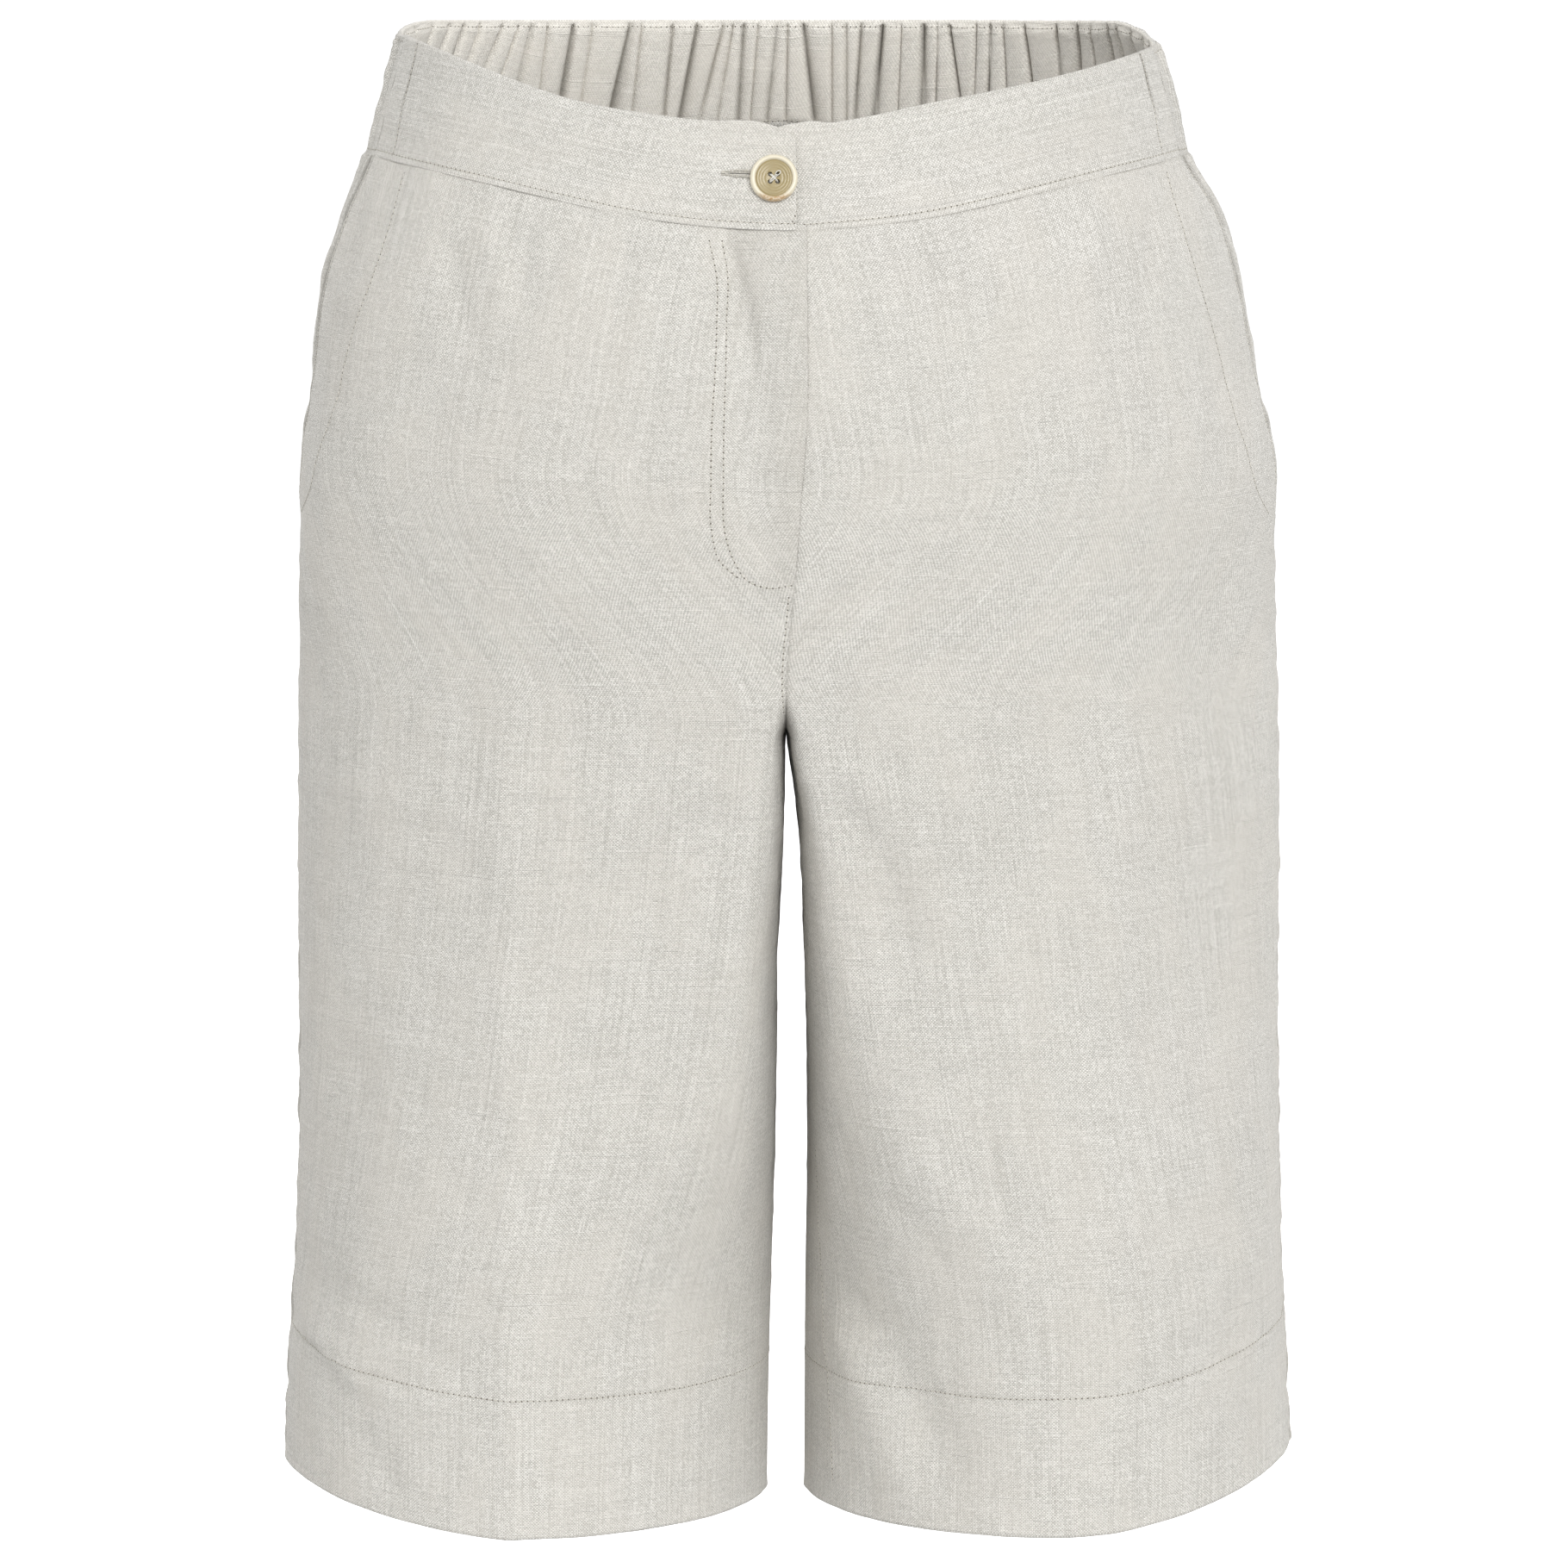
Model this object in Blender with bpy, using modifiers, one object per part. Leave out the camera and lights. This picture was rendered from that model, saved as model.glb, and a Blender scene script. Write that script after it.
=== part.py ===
"""Bermuda shorts in natural linen, filled out and hollow, as worn with no wearer.

The shorts face -Y, their wearer's right leg is on -X and +Z is up.  The origin is
the middle of the waist, at the height of the front waistband's top edge.

Every cloth piece is a wall between an outer and an inner loft.  A loft runs through
level rings: one ring round the hips, which parts at the crotch into a ring for each
leg.  A ring is read by its angle: 0 at the side, +180 degrees at the centre front
or front inseam, -180 degrees at the centre back or back inseam.
"""
import math

import bmesh
import bpy
import numpy as np
from mathutils import Matrix, Vector

MM = 0.001
RIGHT = -1
LEFT = 1
FRONT = 1
BACK = -1
SIDE_NAMES = {RIGHT: "right", LEFT: "left"}

# Driving dimensions, in millimetres.
CLOTH_WALL = 1.4
BAND_WALL = 2.4
HEM_WALL = 1.2
HEM_GAP = 0.6
POCKET_WALL = 1.2
SEAM_GAP = 0.3
CROTCH_LEVEL = -224.0
FORK_START = -120.0
HEM_LEVEL = -538.0
HEM_DEPTH = 56.0
HEM_TILT = 3.0
HEM_RISE = {RIGHT: 7.5, LEFT: 13.0}
PANEL_TOP = -12.0
SEAM_FOLLOWED_ABOVE = -200.0
HEM_FOLLOWED_BELOW = -420.0
BACK_BAND_TOP = 41.0
BACK_SEAM_LEVEL = -2.0
SIDE_SEAM_LEVEL = -10.5
BAND_END = 4.1
UNDERLAP_END = -24.0
FORK_EASE = 2.2
FORK_CORNER = 4.5
HEM_CORNER = 0.0
CORNER_EASES = (230.0, 470.0)
PEAK_MOVES_OUT = (140.0, 480.0)
KNEE_SHARE = 0.7
GATHERS_PER_HALF = 23
GATHER_HEIGHT = 1.3
GATHER_UNEVEN = 0.3
GATHER_DRIFT = 0.006
GATHER_FADE = 70.0
GATHERS_FINE_ABOVE = -14.0
GATHERS_COARSE_ABOVE = -50.0
BUTTON_RADIUS = 9.2
BUTTON_THICKNESS = 3.0
BUTTON_X = -4.4
BUTTON_LEVEL = -16.0
BUTTON_CLEARANCE = 0.5
BUTTONHOLE_LENGTH = 21.0
BUTTONHOLE_HEIGHT = 1.0
BUTTONHOLE_PAST_BUTTON = 2.5
CURVE_SAMPLES = 161
SHARP_DEGREES = 50.0
LINEN = (0.68, 0.65, 0.59)
LINEN_ROUGHNESS = 0.9
HORN = (0.55, 0.43, 0.26)
HORN_ROUGHNESS = 0.35
PANEL_ROW_STEP = 1.5
BAND_ROW_STEP = 0.04
CORNER_FROM = 0.62
CORNER_TO = 0.75
CORNER_COLUMNS = (10, 6, 5)
PLAIN_BACK_BELOW = -205.0
GATHER_SAMPLES = 4
POCKET_COLUMNS = 8
POCKET_DEPTH = 2.9
POCKET_FROM_SEAM = 0.03
SHIELD_COLUMNS = 6
SHIELD_DEPTH = 3.3
BAND_COLUMNS = 24
UNDERLAP_STEP = (5.5, 1.0)

# The rings, in millimetres and degrees, from the back waistband's top to the hem.
SECTION_COLUMNS = ("level", "right", "left", "front", "back", "seam", "gap_right", "gap_left", "square")
SECTIONS = (
    (45, 148.0, 135.0, 107.0, 108.0, 20.0, 0.0, 0.0, 2.2),
    (30, 151.0, 144.0, 109.0, 111.0, 20.0, 0.0, 0.0, 2.2),
    (12, 156.0, 150.0, 111.5, 115.0, 20.0, 0.0, 0.0, 2.2),
    (-12, 163.0, 156.5, 116.0, 121.0, 20.0, 0.0, 0.0, 2.2),
    (-30, 170.0, 167.0, 120.0, 128.0, 16.0, 0.0, 0.0, 2.2),
    (-60, 180.0, 176.5, 125.0, 137.0, 11.5, 0.0, 0.0, 2.2),
    (-90, 183.5, 182.0, 128.5, 143.5, 8.0, 0.0, 0.0, 2.2),
    (-130, 188.5, 190.5, 131.0, 147.0, 6.0, 0.0, 0.0, 2.2),
    (-165, 189.5, 191.2, 130.5, 145.0, 5.0, 0.0, 0.0, 2.2),
    (-205, 190.2, 192.5, 127.0, 137.0, 5.0, 0.0, 0.0, 2.2),
    (-225, 191.2, 193.4, 123.0, 130.0, 5.0, 0.0, 0.0, 2.2),
    (-250, 191.7, 194.0, 119.0, 124.0, 5.0, 0.3, 3.2, 2.2),
    (-280, 192.2, 194.5, 113.0, 117.0, 5.0, 1.5, 5.6, 2.15),
    (-320, 192.5, 194.6, 107.0, 109.0, 5.0, 3.2, 7.2, 2.1),
    (-400, 193.7, 196.4, 98.0, 98.0, 5.0, 4.1, 8.4, 2.0),
    (-460, 196.8, 198.7, 92.5, 91.0, 5.0, 5.8, 7.6, 1.9),
    (-500, 199.8, 201.2, 90.0, 88.0, 5.0, 6.8, 7.4, 1.85),
    (-545, 201.2, 203.2, 89.0, 86.0, 5.0, 7.4, 7.2, 1.8),
)

# The waist seam and the top edges of the front waistbands, in millimetres, by how far
# out they lie: 0 at the centre front and 1 at the side.
WAIST_COLUMNS = ("out", "seam", "top_right", "top_left")
FRONT_WAIST = (
    (0.00, -35.5, 1.5, 1.5),
    (0.06, -35.2, 4.2, 2.8),
    (0.18, -33.8, 4.8, 5.6),
    (0.34, -30.3, 7.6, 10.6),
    (0.50, -25.0, 12.0, 15.0),
    (0.70, -18.3, 21.5, 21.0),
    (0.88, -13.0, 31.0, 27.5),
    (0.97, -10.5, 35.5, 31.0),
)

# How far the centre front edge of the fly lies towards the wearer's left.
FLY_COLUMNS = ("level", "shift")
FLY_EDGE = (
    (-20, 7.6),
    (-90, 7.6),
    (-130, 5.2),
    (-165, 3.0),
    (-195, 0.6),
    (-215, 0.0),
)

# The largest folds.  Each runs from (x, level) to (x, level) and stands out from the
# cloth by its height; a trough has a minus.
FOLD_COLUMNS = ("side", "face", "x_from", "level_from", "x_to", "level_to", "width", "height")
FOLDS = (
    (RIGHT, FRONT, 106, -250, 107, -545, 17, 2.8),
    (RIGHT, FRONT, 150, -45, 187, -215, 13, 2.6),
    (RIGHT, FRONT, 160, -330, 190, -480, 15, -1.8),
    (RIGHT, FRONT, 20, -45, 13, -150, 9, -1.3),
    (RIGHT, FRONT, 190, -465, 150, -500, 12, 2.4),
    (RIGHT, FRONT, 18, -236, 62, -296, 12, -1.8),
    (LEFT, FRONT, 120, -250, 127, -545, 17, 1.6),
    (LEFT, FRONT, 152, -120, 160, -400, 22, -2.4),
    (LEFT, FRONT, 16, -234, 46, -308, 12, -2.4),
    (LEFT, FRONT, 24, -445, 68, -535, 13, -2.4),
    (LEFT, FRONT, 12, -455, 50, -540, 11, 2.2),
    (LEFT, FRONT, 36, -120, 50, -215, 16, -1.6),
    (RIGHT, BACK, 100, -260, 104, -545, 17, 2.2),
    (RIGHT, BACK, 14, -232, 74, -290, 14, -3.0),
    (RIGHT, BACK, 60, -205, 150, -232, 15, -2.0),
    (RIGHT, BACK, 150, -330, 120, -470, 18, -2.0),
    (LEFT, BACK, 102, -260, 106, -545, 17, 2.0),
    (LEFT, BACK, 12, -230, 66, -296, 14, -3.0),
    (LEFT, BACK, 70, -200, 158, -236, 15, -2.2),
    (LEFT, BACK, 44, -350, 70, -500, 16, -1.8),
)

# The rows of a leg panel, from the waist seam to the hem: closer where it forks.
PANEL_LEVELS = (
    PANEL_TOP, -26.0, -46.0, -70.0, -96.0, -124.0, -148.0, -169.0, -186.0, -200.0, -210.0, -218.0,
    -222.5, CROTCH_LEVEL, -232.0, -248.0, -275.0, -312.0, -354.0, -394.0, -430.0, -460.0,
    HEM_LEVEL + HEM_DEPTH, HEM_LEVEL + HEM_DEPTH / 2, HEM_LEVEL,
)

# The rows of the back waistband: how high each is and how deep its gathers are.
BACK_BAND_ROWS = ((0.0, 1.0), (0.6, 1.15), (1.0, 0.6))
FRONT_BAND_ROWS = (0.0, 0.34, 0.67, 1.0)

# The shield behind the fly, from the waist seam down to its curved foot.
SHIELD_ROW_COLUMNS = ("level", "from_x", "to_x")
SHIELD_ROWS = (
    (-14.0, -26.0, 16.0),
    (-42.0, -26.0, 16.0),
    (-62.0, -26.0, 16.0),
    (-84.0, -26.0, 16.0),
    (-108.0, -26.0, 16.0),
    (-132.0, -26.0, 16.0),
    (-156.0, -18.9, 12.0),
    (-168.0, -10.0, 10.0),
)

# A pocket bag's rows: how far each reaches in from the side seam, as a share of the front.
POCKET_ROW_COLUMNS = ("level", "reach")
POCKET_ROWS = (
    (-14.0, 0.46),
    (-42.0, 0.48),
    (-62.0, 0.49),
    (-84.0, 0.50),
    (-108.0, 0.51),
    (-132.0, 0.51),
    (-156.0, 0.49),
    (-178.0, 0.44),
    (-196.0, 0.34),
    (-204.0, 0.22),
)

# The button's turned outline: shares of its radius, and heights in millimetres.
BUTTON_OUTLINE_COLUMNS = ("radius", "height")
BUTTON_OUTLINE = (
    (0.0, 1.9),
    (0.70, 2.1),
    (0.78, 2.9),
    (0.86, BUTTON_THICKNESS),
    (0.97, 2.5),
    (1.0, 1.7),
    (0.9, 0.3),
    (0.6, 0.0),
    (0.0, 0.0),
)
BUTTON_STEPS = 36
THREAD_HOLES = 4
THREAD_HOLE_RADIUS = 0.85
THREAD_HOLE_OUT = 2.3


def table(columns, rows):
    """A table as one array for each named column."""
    return dict(zip(columns, np.array(rows, dtype=float).T))


def smooth_read(where, places, values):
    """Read a smooth curve through (places, values), flat beyond both ends."""
    order = np.argsort(places)
    xs = np.asarray(places, dtype=float)[order]
    ys = np.asarray(values, dtype=float)[order]
    slopes = np.gradient(ys, xs)
    at = np.clip(where, xs[0], xs[-1])
    i = np.clip(np.searchsorted(xs, at) - 1, 0, len(xs) - 2)
    span = xs[i + 1] - xs[i]
    f = (at - xs[i]) / span
    start = (1 + 2 * f) * (1 - f) ** 2 * ys[i] + f * (1 - f) ** 2 * span * slopes[i]
    finish = f * f * (3 - 2 * f) * ys[i + 1] - f * f * (1 - f) * span * slopes[i + 1]
    return start + finish


def smooth_step(value, low, high):
    """0 at low, 1 at high, and smooth between them."""
    f = np.clip((value - low) / (high - low), 0.0, 1.0)
    return f * f * (3 - 2 * f)


SECTION = table(SECTION_COLUMNS, SECTIONS)
WAIST = table(WAIST_COLUMNS, FRONT_WAIST)
FLY = table(FLY_COLUMNS, FLY_EDGE)


def section(column, level):
    return smooth_read(level, SECTION["level"], SECTION[column])


def leg_gap(side, level):
    """How far the centre seam, or the inseam, stays clear of the centre plane."""
    return SEAM_GAP / 2 + np.maximum(section("gap_" + SIDE_NAMES[side], level), 0.0)


def ring_depth(side, depth, level, out):
    """How deep a half ring is at a distance out from the centre plane.

    It is deepest at its peak, which moves out from the centre to the inner part of the
    leg.  Outside the peak the ring closes at the side.  Inside it, the ring is flat
    round the hips and closes at the crotch, so that both halves meet along the
    crotch curve.
    """
    outer = section(SIDE_NAMES[side], level)
    gap = leg_gap(side, level)
    square = section("square", level)
    peak = gap + (outer - gap) / 2 * smooth_step(-level, *PEAK_MOVES_OUT)
    drop = np.clip((FORK_START - level) / (FORK_START - CROTCH_LEVEL), 0.0, 1.0)
    away = np.abs(out) - peak
    inside = -away / np.maximum(peak - gap, SEAM_GAP) * drop ** FORK_EASE
    share = np.clip(np.where(away > 0, away / (outer - peak), inside), 0.0, 1.0)
    corner = FORK_CORNER + (HEM_CORNER - FORK_CORNER) * smooth_step(-level, *CORNER_EASES)
    square = square + np.where(away < 0, corner, 0.0)
    return depth * (1.0 - share ** square) ** (1.0 / square)


def ring(side, level, angle, end):
    """Points of a half ring at these levels and angles; it ends at the x of its edge."""
    outer = section(SIDE_NAMES[side], level)
    gap = leg_gap(side, level)
    towards_centre = (1.0 - np.cos(angle)) / 2
    out = outer - (outer - gap) * towards_centre + side * end * towards_centre ** 3
    depth = np.where(angle > 0, section("front", level), section("back", level))
    y = -np.sign(np.sin(angle)) * ring_depth(side, depth, level, out)
    return np.stack([side * out, y, level + 0.0 * out], axis=-1)


def seam_level(face, angle, out):
    """Height of the waist seam, by how far out it is in front and by angle at the back."""
    if face == FRONT:
        return smooth_read(out, WAIST["out"], WAIST["seam"])
    return SIDE_SEAM_LEVEL + (BACK_SEAM_LEVEL - SIDE_SEAM_LEVEL) * smooth_step(-angle, 0.0, math.pi)


def top_level(side, face, angle, out):
    """Height of the waistband's top edge, read like the seam's."""
    column = WAIST["top_" + SIDE_NAMES[side]]
    if face == FRONT:
        return smooth_read(out, WAIST["out"], column)
    return column[-1] + (BACK_BAND_TOP - column[-1]) * smooth_step(-angle, math.radians(-20), 0.5)


def panel_follows_seam(nominal):
    """1 for the panels' top row, which keeps to the waist seam, and 0 for level rows."""
    return smooth_step(nominal, SEAM_FOLLOWED_ABOVE, PANEL_TOP)


def panel_level(nominal):
    """The rule for a panel's row: the top row follows the waist seam, the last the hem."""
    at_top = panel_follows_seam(nominal)
    at_hem = smooth_step(-nominal, -HEM_FOLLOWED_BELOW, -HEM_LEVEL)

    def level(side, face, angle, out):
        seam = seam_level(face, angle, out) - SEAM_GAP / 2
        hem = HEM_TILT * np.cos(angle) + HEM_RISE[side] * np.clip(np.cos(angle), 0.0, 1.0) ** 2
        return nominal + (seam - PANEL_TOP) * at_top + hem * at_hem
    return level


def band_level(share):
    """The rule for a waistband's row: 0 follows the waist seam and 1 the top edge."""
    def level(side, face, angle, out):
        seam = seam_level(face, angle, out) + SEAM_GAP / 2
        return seam + (top_level(side, face, angle, out) - seam) * share
    return level


class Curve:
    """One row of a piece, from its side seam to the centre, as a fine line."""

    def __init__(self, side, face, rule, nominal, end=None):
        if end is None:
            end = float(smooth_read(nominal, FLY["level"], FLY["shift"])) if face == FRONT else 0.0
        start = rule(side, face, 0.0, 1.0)
        seam = math.radians(float(section("seam", start)))
        self.angles = np.linspace(seam, face * math.pi, CURVE_SAMPLES)
        towards_centre = (1.0 - np.cos(self.angles)) / 2
        waist = section(SIDE_NAMES[side], PANEL_TOP)
        out = np.abs(1.0 - towards_centre + side * end / waist * towards_centre ** 3)
        self.levels = rule(side, face, self.angles, out)
        self.points = ring(side, self.levels, self.angles, end)
        steps = np.linalg.norm(np.diff(self.points, axis=0), axis=1)
        self.lengths = np.concatenate([[0.0], np.cumsum(steps)])
        self.tangents = np.gradient(self.points, self.lengths, axis=0)
        inseam = self.levels[-1] < CROTCH_LEVEL + 0.5
        self.clear = self.lengths[-1] - SEAM_GAP / 2 - (SEAM_GAP / 2 if inseam else 0.0)
        depth = section("front" if face == FRONT else "back", self.levels[-1])
        wall = max(float(depth - abs(self.points[-1, 1])), 0.0)
        forked = smooth_step(-self.levels[-1], -FORK_START, -CROTCH_LEVEL)
        self.knee = KNEE_SHARE * self.clear * (1.0 - forked) + (self.clear - wall) * forked

    def read(self, values, shares):
        """Values at shares of the row, clear of the side seam and of an inseam.

        Shares are even round the hips.  Where the legs fork, those beyond the knee
        share lie on the wall that turns in to the crotch or the inseam.
        """
        at = SEAM_GAP / 2 + np.interp(shares, (0.0, KNEE_SHARE, 1.0), (0.0, self.knee, self.clear))
        return np.stack([np.interp(at, self.lengths, values[:, k]) for k in range(3)], axis=-1)


def row(side, face, make_rule, nominal, shares, step, end=None):
    """Points and outward normals of one row, at shares of its length from the side."""
    here, above, below = (Curve(side, face, make_rule(at), at, end)
                          for at in (nominal, nominal + step, nominal - step))
    points = here.read(here.points, shares)
    along = here.read(here.tangents, shares)
    up = above.read(above.points, shares) - below.read(below.points, shares)
    normals = np.cross(up, along) * side * face
    centre = np.asarray(shares) > 0.999
    normals[centre & (points[:, 2] > CROTCH_LEVEL + 1.0), 0] = 0.0
    normals[centre & (points[:, 2] < CROTCH_LEVEL - 1.0), 1] = 0.0
    normals /= np.linalg.norm(normals, axis=1)[:, None]
    return points, normals


def fold_height(side, face, points):
    """How far the folds move these points out."""
    height = np.zeros(len(points))
    out = side * points[:, 0]
    for entry in FOLDS:
        fold = dict(zip(FOLD_COLUMNS, entry))
        if (fold["side"], fold["face"]) != (side, face):
            continue
        run = np.array([fold["x_to"] - fold["x_from"], fold["level_to"] - fold["level_from"]])
        start = np.stack([out - fold["x_from"], points[:, 2] - fold["level_from"]], axis=-1)
        share = np.clip(start @ run / (run @ run), 0.0, 1.0)
        away = np.linalg.norm(start - share[:, None] * run, axis=1) / fold["width"]
        fade = np.minimum(1.0, 4.0 * np.minimum(share, 1.0 - share) + 0.25)
        height += fold["height"] * fade * np.exp(-away * away)
    return height


def near_centre(shares, clear=0.1):
    """0 at both ends of a row and 1 away from them, so that folds die out at seams."""
    return smooth_step(np.minimum(shares, 1.0 - shares), 0.0, clear)


def gather_place(phase):
    """Shares of the back's length for gathers of uneven width."""
    slow = GATHER_DRIFT * np.sin(6 * math.pi * phase)
    quick = GATHER_DRIFT / 2 * np.sin(14 * math.pi * phase)
    return phase + slow + quick


def gather_height(phase, drop):
    """How far the gathers move a point out, at a phase and a drop below the seam."""
    uneven = 1.0 + GATHER_UNEVEN * np.sin(2.4 * np.floor(phase * GATHERS_PER_HALF))
    fade = np.clip(1.0 - np.asarray(drop) / GATHER_FADE, 0.0, 1.0) ** 1.5
    return GATHER_HEIGHT * uneven * fade * np.sin(2 * math.pi * GATHERS_PER_HALF * phase)


def collection_named(name):
    collection = bpy.data.collections.new(name)
    bpy.context.scene.collection.children.link(collection)
    return collection


def plain_material(name, colour, roughness=LINEN_ROUGHNESS):
    material = bpy.data.materials.new(name)
    material.use_nodes = True
    shader = material.node_tree.nodes["Principled BSDF"]
    shader.inputs["Base Color"].default_value = (*colour, 1.0)
    shader.inputs["Roughness"].default_value = roughness
    shader.inputs["Metallic"].default_value = 0.0
    return material


def strip(mesh, first, second, first_shares, second_shares):
    """Triangles between two rows of vertices, zipped by their shares of the length."""
    i = 0
    j = 0
    while i < len(first) - 1 or j < len(second) - 1:
        ahead = first_shares[min(i + 1, len(first) - 1)] - second_shares[min(j + 1, len(second) - 1)]
        step_first = i < len(first) - 1 and (j == len(second) - 1 or ahead <= 1e-9)
        if step_first:
            mesh.faces.new((first[i], first[i + 1], second[j]))
            i += 1
        else:
            mesh.faces.new((first[i], second[j + 1], second[j]))
            j += 1


def wall_object(name, rows, collection, material, closed=False):
    """A wall from rows of (outer points, inner points, shares), as one closed body."""
    mesh = bmesh.new()
    layers = []
    for which in (0, 1):
        layers.append([[mesh.verts.new(Vector(p) * MM) for p in row_[which]] for row_ in rows])
    shares = [row_[2] for row_ in rows]
    if closed:
        shares = [np.append(s, 1.0 + s[0]) for s in shares]
        layers = [[verts + verts[:1] for verts in layer] for layer in layers]
    for layer in layers:
        for k in range(len(rows) - 1):
            strip(mesh, layer[k], layer[k + 1], shares[k], shares[k + 1])
    outer, inner = layers
    edges = [(outer[0], inner[0]), (outer[-1], inner[-1])]
    if not closed:
        edges.append(([r[0] for r in outer], [r[0] for r in inner]))
        edges.append(([r[-1] for r in outer], [r[-1] for r in inner]))
    for first, second in edges:
        for k in range(len(first) - 1):
            mesh.faces.new((first[k], first[k + 1], second[k + 1], second[k]))
    bmesh.ops.recalc_face_normals(mesh, faces=mesh.faces)
    data = bpy.data.meshes.new(name)
    mesh.to_mesh(data)
    mesh.free()
    data.materials.append(material)
    data.shade_smooth()
    data.set_sharp_from_angle(angle=math.radians(SHARP_DEGREES))
    node = bpy.data.objects.new(name, data)
    collection.objects.link(node)
    return node


def panel_points(side, face, nominal, shares):
    """Outer points and normals of a leg panel's row, folds and gathers included."""
    places = gather_place(shares) if face == BACK else shares
    points, normals = row(side, face, panel_level, nominal, places, PANEL_ROW_STEP)
    lift = fold_height(side, face, points) * near_centre(shares)
    if face == BACK:
        lift += gather_height(shares, PANEL_TOP - nominal)
    return points + normals * lift[:, None], normals


def even_shares(columns):
    return np.linspace(0.0, 1.0, columns + 1)


def corner_shares():
    """Shares that are closer together where a leg turns in to its inseam."""
    outer, corner, inner = (even_shares(columns) for columns in CORNER_COLUMNS)
    return np.concatenate([outer * CORNER_FROM, CORNER_FROM + corner[1:] * (CORNER_TO - CORNER_FROM),
                           CORNER_TO + inner[1:] * (1.0 - CORNER_TO)])


def panel_shares(face, level):
    """Shares for a panel row's points: at the back they are fewer as the gathers fade."""
    if face == FRONT or level < PLAIN_BACK_BELOW:
        return corner_shares()
    if level > GATHERS_FINE_ABOVE:
        return even_shares(GATHERS_PER_HALF * GATHER_SAMPLES)
    if level > GATHERS_COARSE_ABOVE:
        ridges_and_troughs = (np.arange(GATHERS_PER_HALF * 2) + 0.5) / (GATHERS_PER_HALF * 2)
        return np.concatenate([[0.0], ridges_and_troughs, [1.0]])
    return even_shares(GATHERS_PER_HALF)


def leg_panel(side, face, collection, material):
    """One front or back of the shorts, from the waist seam to the hem."""
    rows = []
    for nominal in PANEL_LEVELS:
        shares = panel_shares(face, nominal)
        points, normals = panel_points(side, face, nominal, shares)
        rows.append((points, points - normals * CLOTH_WALL, shares))
    word = "front" if face == FRONT else "back"
    return wall_object(f"{SIDE_NAMES[side]}_{word}", rows, collection, material)


def hem(side, collection, material):
    """The turned-up hem inside one leg, made from both panels' points."""
    rows = []
    start = CLOTH_WALL + HEM_GAP
    for nominal in PANEL_LEVELS:
        if nominal > HEM_LEVEL + HEM_DEPTH:
            continue
        parts = []
        for face in (FRONT, BACK):
            points, normals = panel_points(side, face, nominal, panel_shares(face, nominal))
            outer = points - normals * start
            inner = points - normals * (start + HEM_WALL)
            keep = slice(0, -1) if face == FRONT else slice(-1, 0, -1)
            parts.append((outer[keep], inner[keep]))
        outer = np.concatenate([parts[0][0], parts[1][0]])
        inner = np.concatenate([parts[0][1], parts[1][1]])
        rows.append((outer, inner, np.arange(len(outer)) / len(outer)))
    return wall_object(f"{SIDE_NAMES[side]}_hem", rows, collection, material, closed=True)


def back_waistband(collection, material):
    """The gathered elastic waistband, from one side seam round the back to the other."""
    phases = even_shares(GATHERS_PER_HALF * GATHER_SAMPLES)
    rows = []
    for share, gather in BACK_BAND_ROWS:
        halves = []
        for side in (RIGHT, LEFT):
            points, normals = row(side, BACK, band_level, share, gather_place(phases), BAND_ROW_STEP)
            lift = gather_height(phases, 0.0) * gather
            points = points + normals * lift[:, None]
            halves.append((points, points - normals * BAND_WALL))
        right, left = halves
        joined = [np.concatenate([right[k][:-1], left[k][-2::-1]]) for k in (0, 1)]
        rows.append((*joined, np.arange(len(joined[0])) / len(joined[0])))
    return wall_object("back_waistband", rows, collection, material)


def front_waistband(side, collection, material):
    """A plain front waistband; the left one runs on under the right one's end."""
    end = BAND_END if side == RIGHT else UNDERLAP_END
    step_from, step_to = (BAND_END + clear for clear in UNDERLAP_STEP)
    rows = []
    for share in FRONT_BAND_ROWS:
        shares = even_shares(BAND_COLUMNS)
        if side == LEFT:
            length = Curve(side, FRONT, band_level(share), share, end).clear
            step = 1.0 - (np.array([step_from, step_to]) - UNDERLAP_END) / length
            shares = np.concatenate([step[0] * even_shares(BAND_COLUMNS - 4),
                                     step[1] + (1.0 - step[1]) * even_shares(3)])
        points, normals = row(side, FRONT, band_level, share, shares, BAND_ROW_STEP, end)
        if side == LEFT:
            under = 1.0 - smooth_step(points[:, 0], step_to, step_from)
            points = points - normals * ((BAND_WALL + SEAM_GAP) * under)[:, None]
        rows.append((points, points - normals * BAND_WALL, shares))
    return wall_object(f"{SIDE_NAMES[side]}_front_waistband", rows, collection, material)


def fly_shield(collection, material):
    """The shield behind the fly, a strip that curves in at its foot."""
    rows = []
    shares = even_shares(SHIELD_COLUMNS)
    for entry in SHIELD_ROWS:
        place = dict(zip(SHIELD_ROW_COLUMNS, entry))
        xs = place["from_x"] + (place["to_x"] - place["from_x"]) * shares
        level = place["level"] + (WAIST["seam"][0] - PANEL_TOP) * panel_follows_seam(place["level"])
        y = SHIELD_DEPTH - ring_depth(LEFT, section("front", level), level, xs)
        points = np.stack([xs, y, level + 0.0 * xs], axis=-1)
        rows.append((points, points + np.array([0.0, CLOTH_WALL, 0.0]), shares))
    return wall_object("fly_shield", rows, collection, material)


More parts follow.
